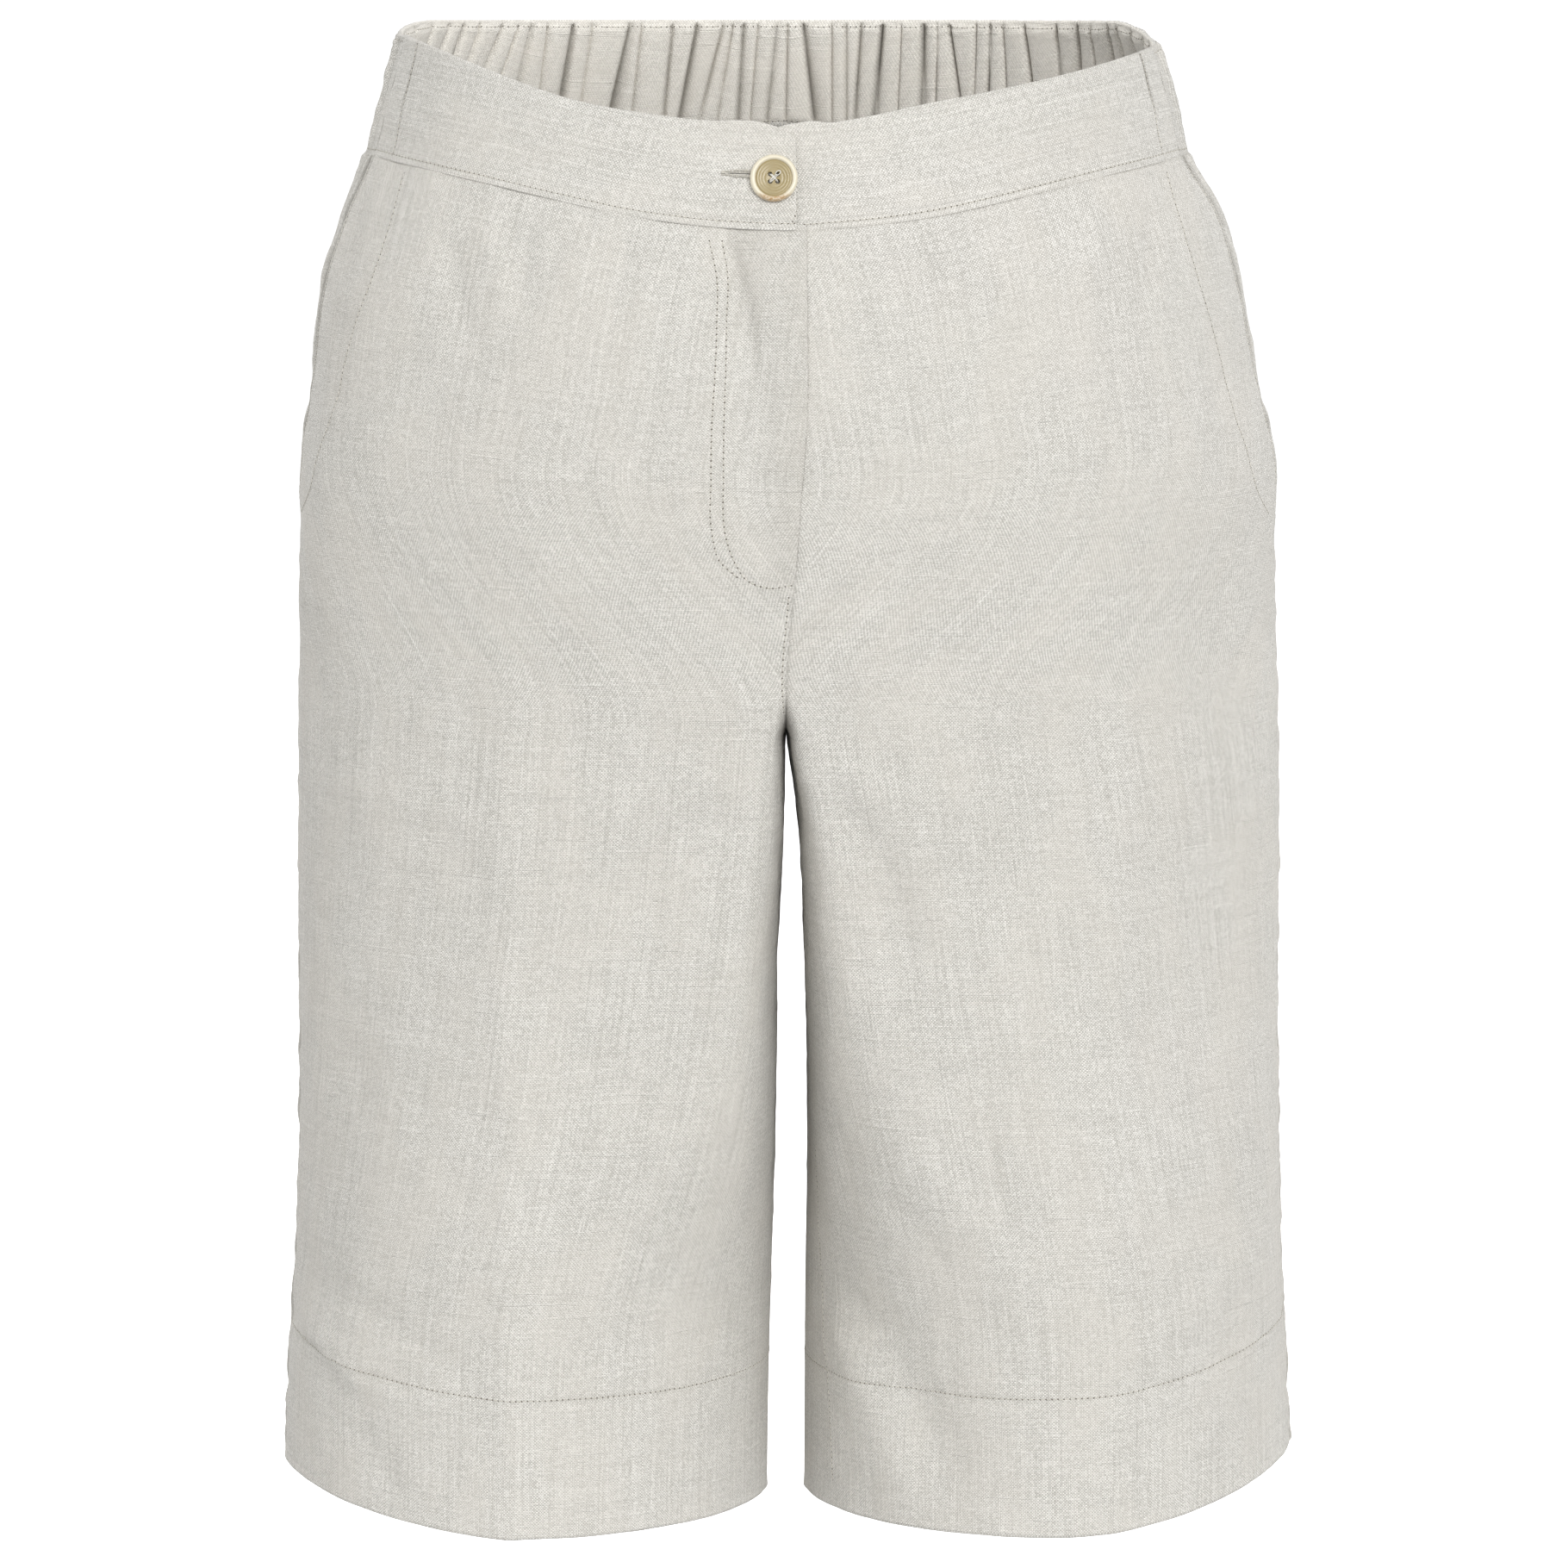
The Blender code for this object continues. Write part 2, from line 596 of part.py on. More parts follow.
def pocket(side, collection, material):
    """A flat pocket bag behind the front, hung from the waist seam and the side seam."""
    rows = []
    for entry in POCKET_ROWS:
        place = dict(zip(POCKET_ROW_COLUMNS, entry))
        shares = POCKET_FROM_SEAM + (place["reach"] - POCKET_FROM_SEAM) * even_shares(POCKET_COLUMNS)
        points, normals = panel_points(side, FRONT, place["level"], shares)
        outer = points - normals * POCKET_DEPTH
        rows.append((outer, outer - normals * POCKET_WALL, shares))
    return wall_object(f"{SIDE_NAMES[side]}_pocket", rows, collection, material)


def front_frame(x, level):
    """Place and axes of the front waistband's surface: x runs across and z stands out."""
    around = np.array([level - 2.0, level + 2.0])
    front = section("front", around)
    y = -float(front.mean())
    lean = Vector((0.0, float(front[0] - front[1]), 4.0)).normalized()
    across = Vector((1.0, 0.0, 0.0))
    out = across.cross(lean)
    turn = Matrix((across, lean, out)).transposed().to_4x4()
    return Matrix.Translation(Vector((x, y, level)) * MM) @ turn


def cutter_object(name, data, collection, place):
    """A hidden cutter."""
    node = bpy.data.objects.new(name, data)
    node.matrix_world = place
    node.hide_render = True
    node.display_type = "WIRE"
    collection.objects.link(node)
    return node


def cut(node, cutter):
    modifier = node.modifiers.new(cutter.name, "BOOLEAN")
    modifier.operation = "DIFFERENCE"
    modifier.object = cutter


def buttonhole(band, cutters):
    """Cut the buttonhole through the right waistband."""
    mesh = bmesh.new()
    bmesh.ops.create_cube(mesh, size=1.0)
    size = Vector((BUTTONHOLE_LENGTH, BUTTONHOLE_HEIGHT, 3 * BAND_WALL)) * MM
    bmesh.ops.scale(mesh, vec=size, verts=mesh.verts)
    data = bpy.data.meshes.new("buttonhole_cutter")
    mesh.to_mesh(data)
    mesh.free()
    place = front_frame(BUTTON_X + BUTTONHOLE_PAST_BUTTON - BUTTONHOLE_LENGTH / 2, BUTTON_LEVEL)
    cut(band, cutter_object("buttonhole_cutter", data, cutters, place))


def button(collection, cutters, material):
    """A turned four-hole button on the waistband's overlap."""
    outline = table(BUTTON_OUTLINE_COLUMNS, BUTTON_OUTLINE)
    profile = zip(outline["radius"] * BUTTON_RADIUS * MM, outline["height"] * MM)
    data = bpy.data.meshes.new("button")
    data.from_pydata([(radius, 0.0, height) for radius, height in profile],
                     [(k, k + 1) for k in range(len(BUTTON_OUTLINE) - 1)], [])
    data.materials.append(material)
    node = bpy.data.objects.new("button", data)
    node.matrix_world = front_frame(BUTTON_X, BUTTON_LEVEL)
    node.matrix_world @= Matrix.Translation((0.0, 0.0, BUTTON_CLEARANCE * MM))
    collection.objects.link(node)
    turned = node.modifiers.new("turned", "SCREW")
    turned.axis = "Z"
    turned.steps = BUTTON_STEPS
    turned.render_steps = BUTTON_STEPS
    turned.use_merge_vertices = True
    turned.merge_threshold = 0.00001
    turned.use_smooth_shade = True
    mesh = bmesh.new()
    hole = Vector((THREAD_HOLE_OUT, 0.0, BUTTON_THICKNESS / 2)) * MM
    for k in range(THREAD_HOLES):
        turn = Matrix.Rotation(2 * math.pi * (k + 0.5) / THREAD_HOLES, 4, "Z")
        bmesh.ops.create_cone(mesh, cap_ends=True, segments=10, radius1=THREAD_HOLE_RADIUS * MM,
                              radius2=THREAD_HOLE_RADIUS * MM, depth=2 * BUTTON_THICKNESS * MM,
                              matrix=turn @ Matrix.Translation(hole))
    holes = bpy.data.meshes.new("thread_holes_cutter")
    mesh.to_mesh(holes)
    mesh.free()
    cut(node, cutter_object("thread_holes_cutter", holes, cutters, node.matrix_world.copy()))
    return node


def main():
    for node in list(bpy.data.objects):
        bpy.data.objects.remove(node, do_unlink=True)
    shorts = collection_named("bermuda_shorts")
    cutters = collection_named("cutters")
    for side in (RIGHT, LEFT):
        word = SIDE_NAMES[side]
        leg_panel(side, FRONT, shorts, plain_material(f"{word}_front_linen", LINEN))
        leg_panel(side, BACK, shorts, plain_material(f"{word}_back_linen", LINEN))
        hem(side, shorts, plain_material(f"{word}_hem_linen", LINEN))
        pocket(side, shorts, plain_material(f"{word}_pocket_linen", LINEN))
        band = front_waistband(side, shorts, plain_material(f"{word}_front_waistband_linen", LINEN))
        if side == RIGHT:
            buttonhole(band, cutters)
    back_waistband(shorts, plain_material("back_waistband_linen", LINEN))
    fly_shield(shorts, plain_material("fly_shield_linen", LINEN))
    button(shorts, cutters, plain_material("button_horn", HORN, HORN_ROUGHNESS))


main()
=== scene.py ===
"""Bermuda shorts in natural linen: cloth, seams, stitching and button on their frame.

The shorts face -Y, their wearer's right leg is on -X and +Z is up.  Lengths inside the
functions are in millimetres and become metres when a mesh is made.  The cloth follows
the same rings as the solids: a ring is read by its angle, 0 at the side, +180 degrees
at the centre front or front inseam and -180 degrees at the centre back or back inseam.
"""
import math

import bmesh
import bpy
import numpy as np
from mathutils import Matrix, Vector


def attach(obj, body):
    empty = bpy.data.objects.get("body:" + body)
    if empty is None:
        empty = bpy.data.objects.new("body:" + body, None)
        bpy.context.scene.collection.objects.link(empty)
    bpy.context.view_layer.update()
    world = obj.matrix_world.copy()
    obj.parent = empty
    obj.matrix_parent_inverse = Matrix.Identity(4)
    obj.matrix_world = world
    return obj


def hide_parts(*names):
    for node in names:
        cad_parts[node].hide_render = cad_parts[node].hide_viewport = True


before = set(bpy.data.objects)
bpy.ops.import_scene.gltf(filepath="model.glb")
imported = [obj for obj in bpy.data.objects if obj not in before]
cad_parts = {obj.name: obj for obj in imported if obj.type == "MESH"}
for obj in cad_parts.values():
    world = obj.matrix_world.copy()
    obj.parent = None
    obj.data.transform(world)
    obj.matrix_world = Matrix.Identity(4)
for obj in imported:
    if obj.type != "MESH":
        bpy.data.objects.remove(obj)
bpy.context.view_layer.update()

bl_info = {
    "name": "Linen Bermuda Shorts",
    "version": (1, 0, 0),
    "blender": (4, 5, 0),
    "location": "3D View > Sidebar > Shorts",
    "description": "Dresses a pair of bermuda shorts in linen, with seams, stitching and a button",
    "category": "Add Mesh",
}

MM = 0.001
RIGHT = -1
LEFT = 1
FRONT = 1
BACK = -1
SIDES = (RIGHT, LEFT)
SIDE_NAMES = {RIGHT: "right", LEFT: "left"}
FACE_NAMES = {FRONT: "front", BACK: "back"}

# Driving dimensions of the frame, in millimetres.
SEAM_GAP = 0.3
CROTCH_LEVEL = -224.0
FORK_START = -120.0
HEM_LEVEL = -538.0
HEM_DEPTH = 56.0
HEM_LINE = HEM_DEPTH - 1.0
HEM_TILT = 3.0
HEM_RISE = {RIGHT: 7.5, LEFT: 13.0}
PANEL_TOP = -12.0
SEAM_FOLLOWED_ABOVE = -200.0
HEM_FOLLOWED_BELOW = -420.0
MOUTH_FOOT = (-152.0, -142.0)
FLY_FOOT = (-176.0, -160.0)
BACK_BAND_TOP = 41.0
BACK_SEAM_LEVEL = -2.0
SIDE_SEAM_LEVEL = -10.5
BAND_END = 4.1
UNDERLAP_END = -24.0
FORK_EASE = 2.2
FORK_CORNER = 4.5
HEM_CORNER = 0.0
CORNER_EASES = (230.0, 470.0)
PEAK_MOVES_OUT = (140.0, 480.0)
KNEE_SHARE = 0.7
GATHERS_PER_HALF = 23
GATHER_HEIGHT = 1.3
GATHER_UNEVEN = 0.3
GATHER_DRIFT = 0.006
GATHER_FADE = 70.0
BUTTON_X = -4.4
BUTTON_LEVEL = -16.0
CURVE_SAMPLES = 481

SECTION_COLUMNS = ("level", "right", "left", "front", "back", "seam", "gap_right", "gap_left", "square")
SECTIONS = (
    (45, 148.0, 135.0, 107.0, 108.0, 20.0, 0.0, 0.0, 2.2),
    (30, 151.0, 144.0, 109.0, 111.0, 20.0, 0.0, 0.0, 2.2),
    (12, 156.0, 150.0, 111.5, 115.0, 20.0, 0.0, 0.0, 2.2),
    (-12, 163.0, 156.5, 116.0, 121.0, 20.0, 0.0, 0.0, 2.2),
    (-30, 170.0, 167.0, 120.0, 128.0, 16.0, 0.0, 0.0, 2.2),
    (-60, 180.0, 176.5, 125.0, 137.0, 11.5, 0.0, 0.0, 2.2),
    (-90, 183.5, 182.0, 128.5, 143.5, 8.0, 0.0, 0.0, 2.2),
    (-130, 188.5, 190.5, 131.0, 147.0, 6.0, 0.0, 0.0, 2.2),
    (-165, 189.5, 191.2, 130.5, 145.0, 5.0, 0.0, 0.0, 2.2),
    (-205, 190.2, 192.5, 127.0, 137.0, 5.0, 0.0, 0.0, 2.2),
    (-225, 191.2, 193.4, 123.0, 130.0, 5.0, 0.0, 0.0, 2.2),
    (-250, 191.7, 194.0, 119.0, 124.0, 5.0, 0.3, 3.2, 2.2),
    (-280, 192.2, 194.5, 113.0, 117.0, 5.0, 1.5, 5.6, 2.15),
    (-320, 192.5, 194.6, 107.0, 109.0, 5.0, 3.2, 7.2, 2.1),
    (-400, 193.7, 196.4, 98.0, 98.0, 5.0, 4.1, 8.4, 2.0),
    (-460, 196.8, 198.7, 92.5, 91.0, 5.0, 5.8, 7.6, 1.9),
    (-500, 199.8, 201.2, 90.0, 88.0, 5.0, 6.8, 7.4, 1.85),
    (-545, 201.2, 203.2, 89.0, 86.0, 5.0, 7.4, 7.2, 1.8),
)
WAIST_COLUMNS = ("out", "seam", "top_right", "top_left")
FRONT_WAIST = (
    (0.00, -35.5, 1.5, 1.5),
    (0.06, -35.2, 4.2, 2.8),
    (0.18, -33.8, 4.8, 5.6),
    (0.34, -30.3, 7.6, 10.6),
    (0.50, -25.0, 12.0, 15.0),
    (0.70, -18.3, 21.5, 21.0),
    (0.88, -13.0, 31.0, 27.5),
    (0.97, -10.5, 35.5, 31.0),
)
FLY_COLUMNS = ("level", "shift")
FLY_EDGE = (
    (-20, 7.6),
    (-90, 7.6),
    (-130, 5.2),
    (-165, 3.0),
    (-195, 0.6),
    (-215, 0.0),
)

# Creases and folds, in millimetres.  Each runs from (x, level) to (x, level), bowed
# outwards by bow at its middle.  It stands out by its height, or sinks in by it with a
# minus.  Sharp is 0 for a soft fold and 1 for a pressed edge, and a steep fold falls
# quickly on its inner side.
CREASE_COLUMNS = ("x_from", "level_from", "x_to", "level_to", "bow", "width", "height", "sharp", "steep")
CREASES = {
    (RIGHT, FRONT): (
        (105, -190, 108, -640, 0, 30, 4.6, 0.9, 0.1),
        (150, -45, 187, -215, 6, 13, 2.6, 0.1, 0.3),
        (160, -330, 190, -480, 3, 15, -1.8, 0.0, 0.0),
        (19, -38, 11, -152, 3, 7, -1.9, 0.5, 0.5),
        (21, -34, 14, -84, 1, 4.5, -1.7, 0.3, 0.5),
        (190, -465, 160, -486, 0, 8, 2.2, 0.1, 0.3),
        (188, -447, 112, -482, -4, 7, -1.1, 0.1, 0.2),
        (18, -246, 62, -300, 6, 12, -1.8, 0.0, 0.0),
        (128, -34, 118, -78, 0, 5, -1.4, 0.0, 0.0),
        (112, -32, 106, -62, 0, 4, 1.0, 0.0, 0.0),
        (98, -30, 96, -74, 0, 5, -1.2, 0.0, 0.0),
        (74, -34, 80, -58, 0, 4, 0.9, 0.0, 0.0),
        (58, -37, 62, -70, 0, 5, -0.9, 0.0, 0.0),
        (178, -250, 104, -258, -2, 5, 0.5, 0.1, 0.0),
        (182, -345, 112, -354, -3, 5, 0.5, 0.1, 0.0),
        (178, -404, 120, -396, 2, 5, -0.5, 0.1, 0.0),
        (172, -502, 150, -520, 0, 10, -1.2, 0.0, 0.0),
        (96, -110, 60, -190, 5, 16, 0.9, 0.0, 0.0),
        (132, -96, 150, -210, 4, 14, -0.9, 0.0, 0.0),
        (60, -330, 48, -470, 0, 20, -1.2, 0.0, 0.0),
        (20, -300, 14, -420, 0, 7, 0.8, 0.0, 0.0),
    ),
    (LEFT, FRONT): (
        (122, -190, 127, -640, 0, 26, 3.0, 0.8, 0.0),
        (152, -120, 160, -400, 5, 22, -2.4, 0.0, 0.0),
        (16, -238, 46, -320, 7, 11, -2.6, 0.1, 0.4),
        (24, -445, 68, -535, 4, 12, -2.6, 0.2, -0.3),
        (12, -455, 50, -540, 3, 10, 2.2, 0.1, 0.3),
        (36, -100, 52, -225, 5, 16, -1.9, 0.0, 0.0),
        (76, -90, 84, -220, 3, 15, 1.0, 0.0, 0.0),
        (40, -378, 80, -426, 3, 6, 0.9, 0.1, 0.2),
        (30, -398, 66, -440, 3, 6, -0.9, 0.1, 0.2),
        (24, -330, 22, -440, 0, 9, -1.1, 0.0, 0.0),
        (138, -26, 134, -72, 0, 5, -1.2, 0.0, 0.0),
        (116, -28, 112, -66, 0, 5, 0.9, 0.0, 0.0),
        (92, -31, 94, -80, 0, 6, -0.9, 0.0, 0.0),
        (174, -150, 180, -300, 3, 9, 1.3, 0.1, 0.0),
        (182, -430, 150, -462, 2, 8, 0.9, 0.0, 0.0),
        (100, -350, 96, -480, 0, 18, 0.9, 0.0, 0.0),
    ),
    (RIGHT, BACK): (
        (102, -215, 104, -640, 0, 28, 3.6, 0.9, 0.0),
        (18, -246, 74, -296, 6, 13, -2.6, 0.1, 0.3),
        (60, -205, 150, -232, -8, 15, -2.0, 0.0, 0.0),
        (80, -228, 165, -246, -6, 10, 1.2, 0.0, 0.0),
        (150, -330, 120, -470, 4, 18, -2.0, 0.0, 0.0),
        (40, -400, 58, -500, 0, 12, 1.3, 0.0, 0.0),
        (176, -280, 186, -430, 3, 9, 1.0, 0.1, 0.0),
    ),
    (LEFT, BACK): (
        (102, -215, 106, -640, 0, 26, 3.2, 0.8, 0.0),
        (16, -244, 66, -300, 6, 13, -2.6, 0.1, 0.3),
        (70, -200, 158, -236, -9, 15, -2.2, 0.0, 0.0),
        (90, -226, 170, -252, -6, 10, 1.2, 0.0, 0.0),
        (44, -350, 70, -500, 4, 16, -1.8, 0.0, 0.0),
        (140, -360, 152, -500, 3, 14, 1.2, 0.0, 0.0),
        (176, -200, 182, -330, 3, 10, -1.0, 0.0, 0.0),
    ),
}

# The valleys between the gathers on the inside of the back waistband: how far each is
# from the centre back at the top edge and at the lower seam, towards the wearer's left,
# and its width at both and its depth.
VALLEY_SCALE = 1.5
VALLEY_WIDTH_SCALE = 0.55
SWELL = 2.2
PLEAT_WIDTH = 12.0
VALLEY_COLUMNS = ("top", "bottom", "width_top", "width_bottom", "depth")
VALLEYS = (
    (-226, -246, 2.0, 2.6, 1.2),
    (-212, -232, 1.6, 2.0, 0.9),
    (-199, -221, 2.0, 2.4, 1.2),
    (-184, -211, 1.6, 2.0, 1.0),
    (-166, -200, 1.5, 2.0, 1.5),
    (-152, -187, 1.5, 2.0, 1.6),
    (-143, -170, 2.6, 3.2, 1.7),
    (-134, -158, 1.4, 1.6, 0.7),
    (-122, -149, 1.4, 1.8, 1.3),
    (-114, -136, 1.2, 1.6, 0.6),
    (-108, -122, 1.8, 2.6, 1.2),
    (-101, -108, 1.2, 1.6, 0.7),
    (-89, -98, 1.8, 4.6, 2.0),
    (-81, -89, 1.2, 1.6, 0.6),
    (-65, -76, 1.8, 5.0, 2.2),
    (-60, -66, 1.4, 1.4, 0.6),
    (-47, -52, 1.4, 2.0, 1.3),
    (-37, -46, 1.6, 3.8, 1.8),
    (-26, -38, 1.4, 1.8, 1.2),
    (-22, -30, 1.2, 1.6, 0.8),
    (-18, -21, 1.8, 3.0, 1.6),
    (-12, -16, 1.2, 1.4, 0.7),
    (-4, -9, 1.4, 2.2, 1.5),
    (0, -1, 1.2, 1.4, 0.7),
    (6, 11, 2.0, 3.6, 1.8),
    (18, 18, 1.2, 1.6, 0.6),
    (24, 24, 1.4, 1.6, 1.0),
    (30, 27, 1.4, 2.4, 1.5),
    (39, 35, 2.2, 3.4, 2.0),
    (47, 45, 1.2, 1.4, 0.5),
    (56, 55, 2.4, 3.2, 2.0),
    (62, 61, 1.2, 1.4, 0.6),
    (67, 74, 1.6, 2.0, 1.3),
    (79, 77, 1.2, 1.4, 0.7),
    (85, 83, 1.5, 1.8, 1.5),
    (91, 93, 1.2, 1.6, 0.6),
    (101, 107, 1.6, 2.0, 1.2),
    (117, 119, 1.8, 2.2, 1.3),
    (129, 127, 2.2, 2.8, 1.6),
    (138, 139, 1.2, 1.6, 0.6),
    (150, 150, 1.6, 2.4, 1.4),
    (158, 160, 1.4, 1.6, 0.8),
    (173, 176, 1.6, 2.0, 1.4),
    (187, 194, 1.4, 1.8, 0.9),
    (200, 212, 2.0, 2.2, 1.2),
    (216, 234, 1.6, 2.0, 1.0),
)

# Lines of stitching on the fronts, as (x, level), x towards the side.
LINE_COLUMNS = ("x", "level")
FLY_OUTER_LINE = ((28.1, -39), (25.3, -53), (25.3, -67), (25.9, -86), (27.2, -107),
                  (27.5, -125), (27.2, -146), (24.5, -156), (18.0, -162))
FLY_INNER_LINE = ((23.4, -39), (21.4, -52), (21.8, -67), (22.1, -86), (22.7, -105),
                  (22.9, -124), (21.9, -148), (18.7, -157), (14.6, -163), (6.0, -166), (-2.0, -165))
FACING_LINE = ((144.0, -16), (148.0, -31), (155.0, -54), (160.5, -71), (165.0, -87),
               (170.0, -106), (175.5, -120), (181.0, -138), (186.0, -147))
# Lines beside an edge: from one level to another, at a distance.
MOUTH_STITCH = (-14.0, -148.0, 2.0)
CENTRE_STITCH = (-168.0, -214.0, 1.6)
INSEAM_LINE = ((11.5, -395), (14.0, -446), (17.0, -486), (19.0, -530))

# Where each piece's weave is taken from, so that no two look alike.
LINEN_PLACES = {"front": 3.0, "back": 9.0, "hem": 15.0, "front_waistband": 21.0,
                "back_waistband": 27.0, "pocket": 33.0, "fly_shield": 40.0}


def table(columns, rows):
    """A table as one array for each named column."""
    return dict(zip(columns, np.array(rows, dtype=float).T))


def smooth_read(where, places, values):
    """Read a smooth curve through (places, values), flat beyond both ends."""
    order = np.argsort(places)
    xs = np.asarray(places, dtype=float)[order]
    ys = np.asarray(values, dtype=float)[order]
    slopes = np.gradient(ys, xs)
    at = np.clip(where, xs[0], xs[-1])
    i = np.clip(np.searchsorted(xs, at) - 1, 0, len(xs) - 2)
    span = xs[i + 1] - xs[i]
    f = (at - xs[i]) / span
    start = (1 + 2 * f) * (1 - f) ** 2 * ys[i] + f * (1 - f) ** 2 * span * slopes[i]
    finish = f * f * (3 - 2 * f) * ys[i + 1] - f * f * (1 - f) * span * slopes[i + 1]
    return start + finish


def smooth_step(value, low, high):
    """0 at low, 1 at high, and smooth between them."""
    f = np.clip((value - low) / (high - low), 0.0, 1.0)
    return f * f * (3 - 2 * f)


def smooth_fall(value, low, high):
    """1 at low, 0 at high, and smooth between them."""
    return 1.0 - smooth_step(value, low, high)


def bell(value, middle, width):
    """1 at the middle, falling smoothly to nothing about two widths away."""
    return np.exp(-((value - middle) / width) ** 2)


def unit(vectors):
    return vectors / np.maximum(np.linalg.norm(vectors, axis=-1, keepdims=True), 1e-9)


def running(steps):
    """Lengths along a line from its steps, starting at nothing."""
    return np.concatenate([[0.0], np.cumsum(steps)])


def line_lengths(points):
    return running(np.linalg.norm(np.diff(points, axis=0), axis=1))


def along_line(at, lengths, points):
    """Points at these lengths along a line."""
    return np.stack([np.interp(at, lengths, points[:, k]) for k in range(3)], axis=-1)


SECTION = table(SECTION_COLUMNS, SECTIONS)
WAIST = table(WAIST_COLUMNS, FRONT_WAIST)
FLY = table(FLY_COLUMNS, FLY_EDGE)
VALLEY = table(VALLEY_COLUMNS, VALLEYS)


# ---------------------------------------------------------------- the frame's surface

def section(column, level):
    return smooth_read(level, SECTION["level"], SECTION[column])


def leg_gap(side, level):
    """How far the centre seam, or the inseam, stays clear of the centre plane."""
    return SEAM_GAP / 2 + np.maximum(section("gap_" + SIDE_NAMES[side], level), 0.0)


def ring_depth(side, depth, level, out):
    """How deep a half ring is at a distance out from the centre plane."""
    outer = section(SIDE_NAMES[side], level)
    gap = leg_gap(side, level)
    square = section("square", level)
    peak = gap + (outer - gap) / 2 * smooth_step(-level, *PEAK_MOVES_OUT)
    drop = np.clip((FORK_START - level) / (FORK_START - CROTCH_LEVEL), 0.0, 1.0)
    away = np.abs(out) - peak
    inside = -away / np.maximum(peak - gap, SEAM_GAP) * drop ** FORK_EASE
    share = np.clip(np.where(away > 0, away / (outer - peak), inside), 0.0, 1.0)
    corner = FORK_CORNER + (HEM_CORNER - FORK_CORNER) * smooth_step(-level, *CORNER_EASES)
    square = square + np.where(away < 0, corner, 0.0)
    return depth * (1.0 - share ** square) ** (1.0 / square)


def ring(side, level, angle, end):
    """Points of a half ring at these levels and angles; it ends at the x of its edge."""
    outer = section(SIDE_NAMES[side], level)
    gap = leg_gap(side, level)
    towards_centre = (1.0 - np.cos(angle)) / 2
    out = outer - (outer - gap) * towards_centre + side * end * towards_centre ** 3
    depth = np.where(angle > 0, section("front", level), section("back", level))
    y = -np.sign(np.sin(angle)) * ring_depth(side, depth, level, out)
    return np.stack([side * out, y, level + 0.0 * out], axis=-1)


def seam_level(face, angle, out):
    """Height of the waist seam, by how far out it is in front and by angle at the back."""
    if face == FRONT:
        return smooth_read(out, WAIST["out"], WAIST["seam"])
    return SIDE_SEAM_LEVEL + (BACK_SEAM_LEVEL - SIDE_SEAM_LEVEL) * smooth_step(-angle, 0.0, math.pi)


def top_level(side, face, angle, out):
    """Height of the waistband's top edge, read like the seam's."""
    column = WAIST["top_" + SIDE_NAMES[side]]
    if face == FRONT:
        return smooth_read(out, WAIST["out"], column)
    return column[-1] + (BACK_BAND_TOP - column[-1]) * smooth_step(-angle, math.radians(-20), 0.5)


def panel_follows_seam(nominal):
    """1 for the panels' top row, which keeps to the waist seam, and 0 for level rows."""
    return smooth_step(nominal, SEAM_FOLLOWED_ABOVE, PANEL_TOP)


def panel_level(nominal):
    """The rule for a panel's row: the top row follows the waist seam, the last the hem."""
    at_top = panel_follows_seam(nominal)
    at_hem = smooth_step(-nominal, -HEM_FOLLOWED_BELOW, -HEM_LEVEL)

    def level(side, face, angle, out):
        seam = seam_level(face, angle, out) - SEAM_GAP / 2
        hem = HEM_TILT * np.cos(angle) + HEM_RISE[side] * np.clip(np.cos(angle), 0.0, 1.0) ** 2
        return nominal + (seam - PANEL_TOP) * at_top + hem * at_hem
    return level


def band_level(share):
    """The rule for a waistband's row: 0 follows the waist seam and 1 the top edge."""
    def level(side, face, angle, out):
        seam = seam_level(face, angle, out) + SEAM_GAP / 2
        return seam + (top_level(side, face, angle, out) - seam) * share
    return level


class Curve:
    """One row of a piece, from its side seam to the centre, as a fine line."""

    def __init__(self, side, face, rule, nominal, end=None):
        if end is None:
            end = float(smooth_read(nominal, FLY["level"], FLY["shift"])) if face == FRONT else 0.0
        start = rule(side, face, 0.0, 1.0)
        seam = math.radians(float(section("seam", start)))
        angles = np.linspace(seam, face * math.pi, CURVE_SAMPLES)
        towards_centre = (1.0 - np.cos(angles)) / 2
        waist = section(SIDE_NAMES[side], PANEL_TOP)
        out = np.abs(1.0 - towards_centre + side * end / waist * towards_centre ** 3)
        levels = rule(side, face, angles, out)
        self.points = ring(side, levels, angles, end)
        self.lengths = line_lengths(self.points)
        inseam = levels[-1] < CROTCH_LEVEL + 0.5
        self.clear = self.lengths[-1] - SEAM_GAP / 2 - (SEAM_GAP / 2 if inseam else 0.0)
        depth = section(FACE_NAMES[face], levels[-1])
        wall = max(float(depth - abs(self.points[-1, 1])), 0.0)
        forked = smooth_step(-levels[-1], -FORK_START, -CROTCH_LEVEL)
        self.knee = KNEE_SHARE * self.clear * (1.0 - forked) + (self.clear - wall) * forked

    def read(self, shares):
        """Points at shares of the row; beyond the knee share they turn in to the inseam."""
        at = SEAM_GAP / 2 + np.interp(shares, (0.0, KNEE_SHARE, 1.0), (0.0, self.knee, self.clear))
        return along_line(at, self.lengths, self.points)


def surface(side, face, make_rule, nominals, shares, end=None):
    """Points of a piece on the frame's surface: a row for each nominal level or share."""
    return np.stack([Curve(side, face, make_rule(at), at, end).read(shares) for at in nominals])


def outward(points, turn):
    """Outward normals of a grid whose rows run down and whose columns run across."""
    across = np.gradient(points, axis=1)
    down = np.gradient(points, axis=0)
    return unit(np.cross(across, down)) * turn


def row_lengths(points):
    """Length along each row from its first column."""
    steps = np.linalg.norm(np.diff(points, axis=1), axis=-1)
    return np.concatenate([np.zeros((len(points), 1)), np.cumsum(steps, axis=1)], axis=1)


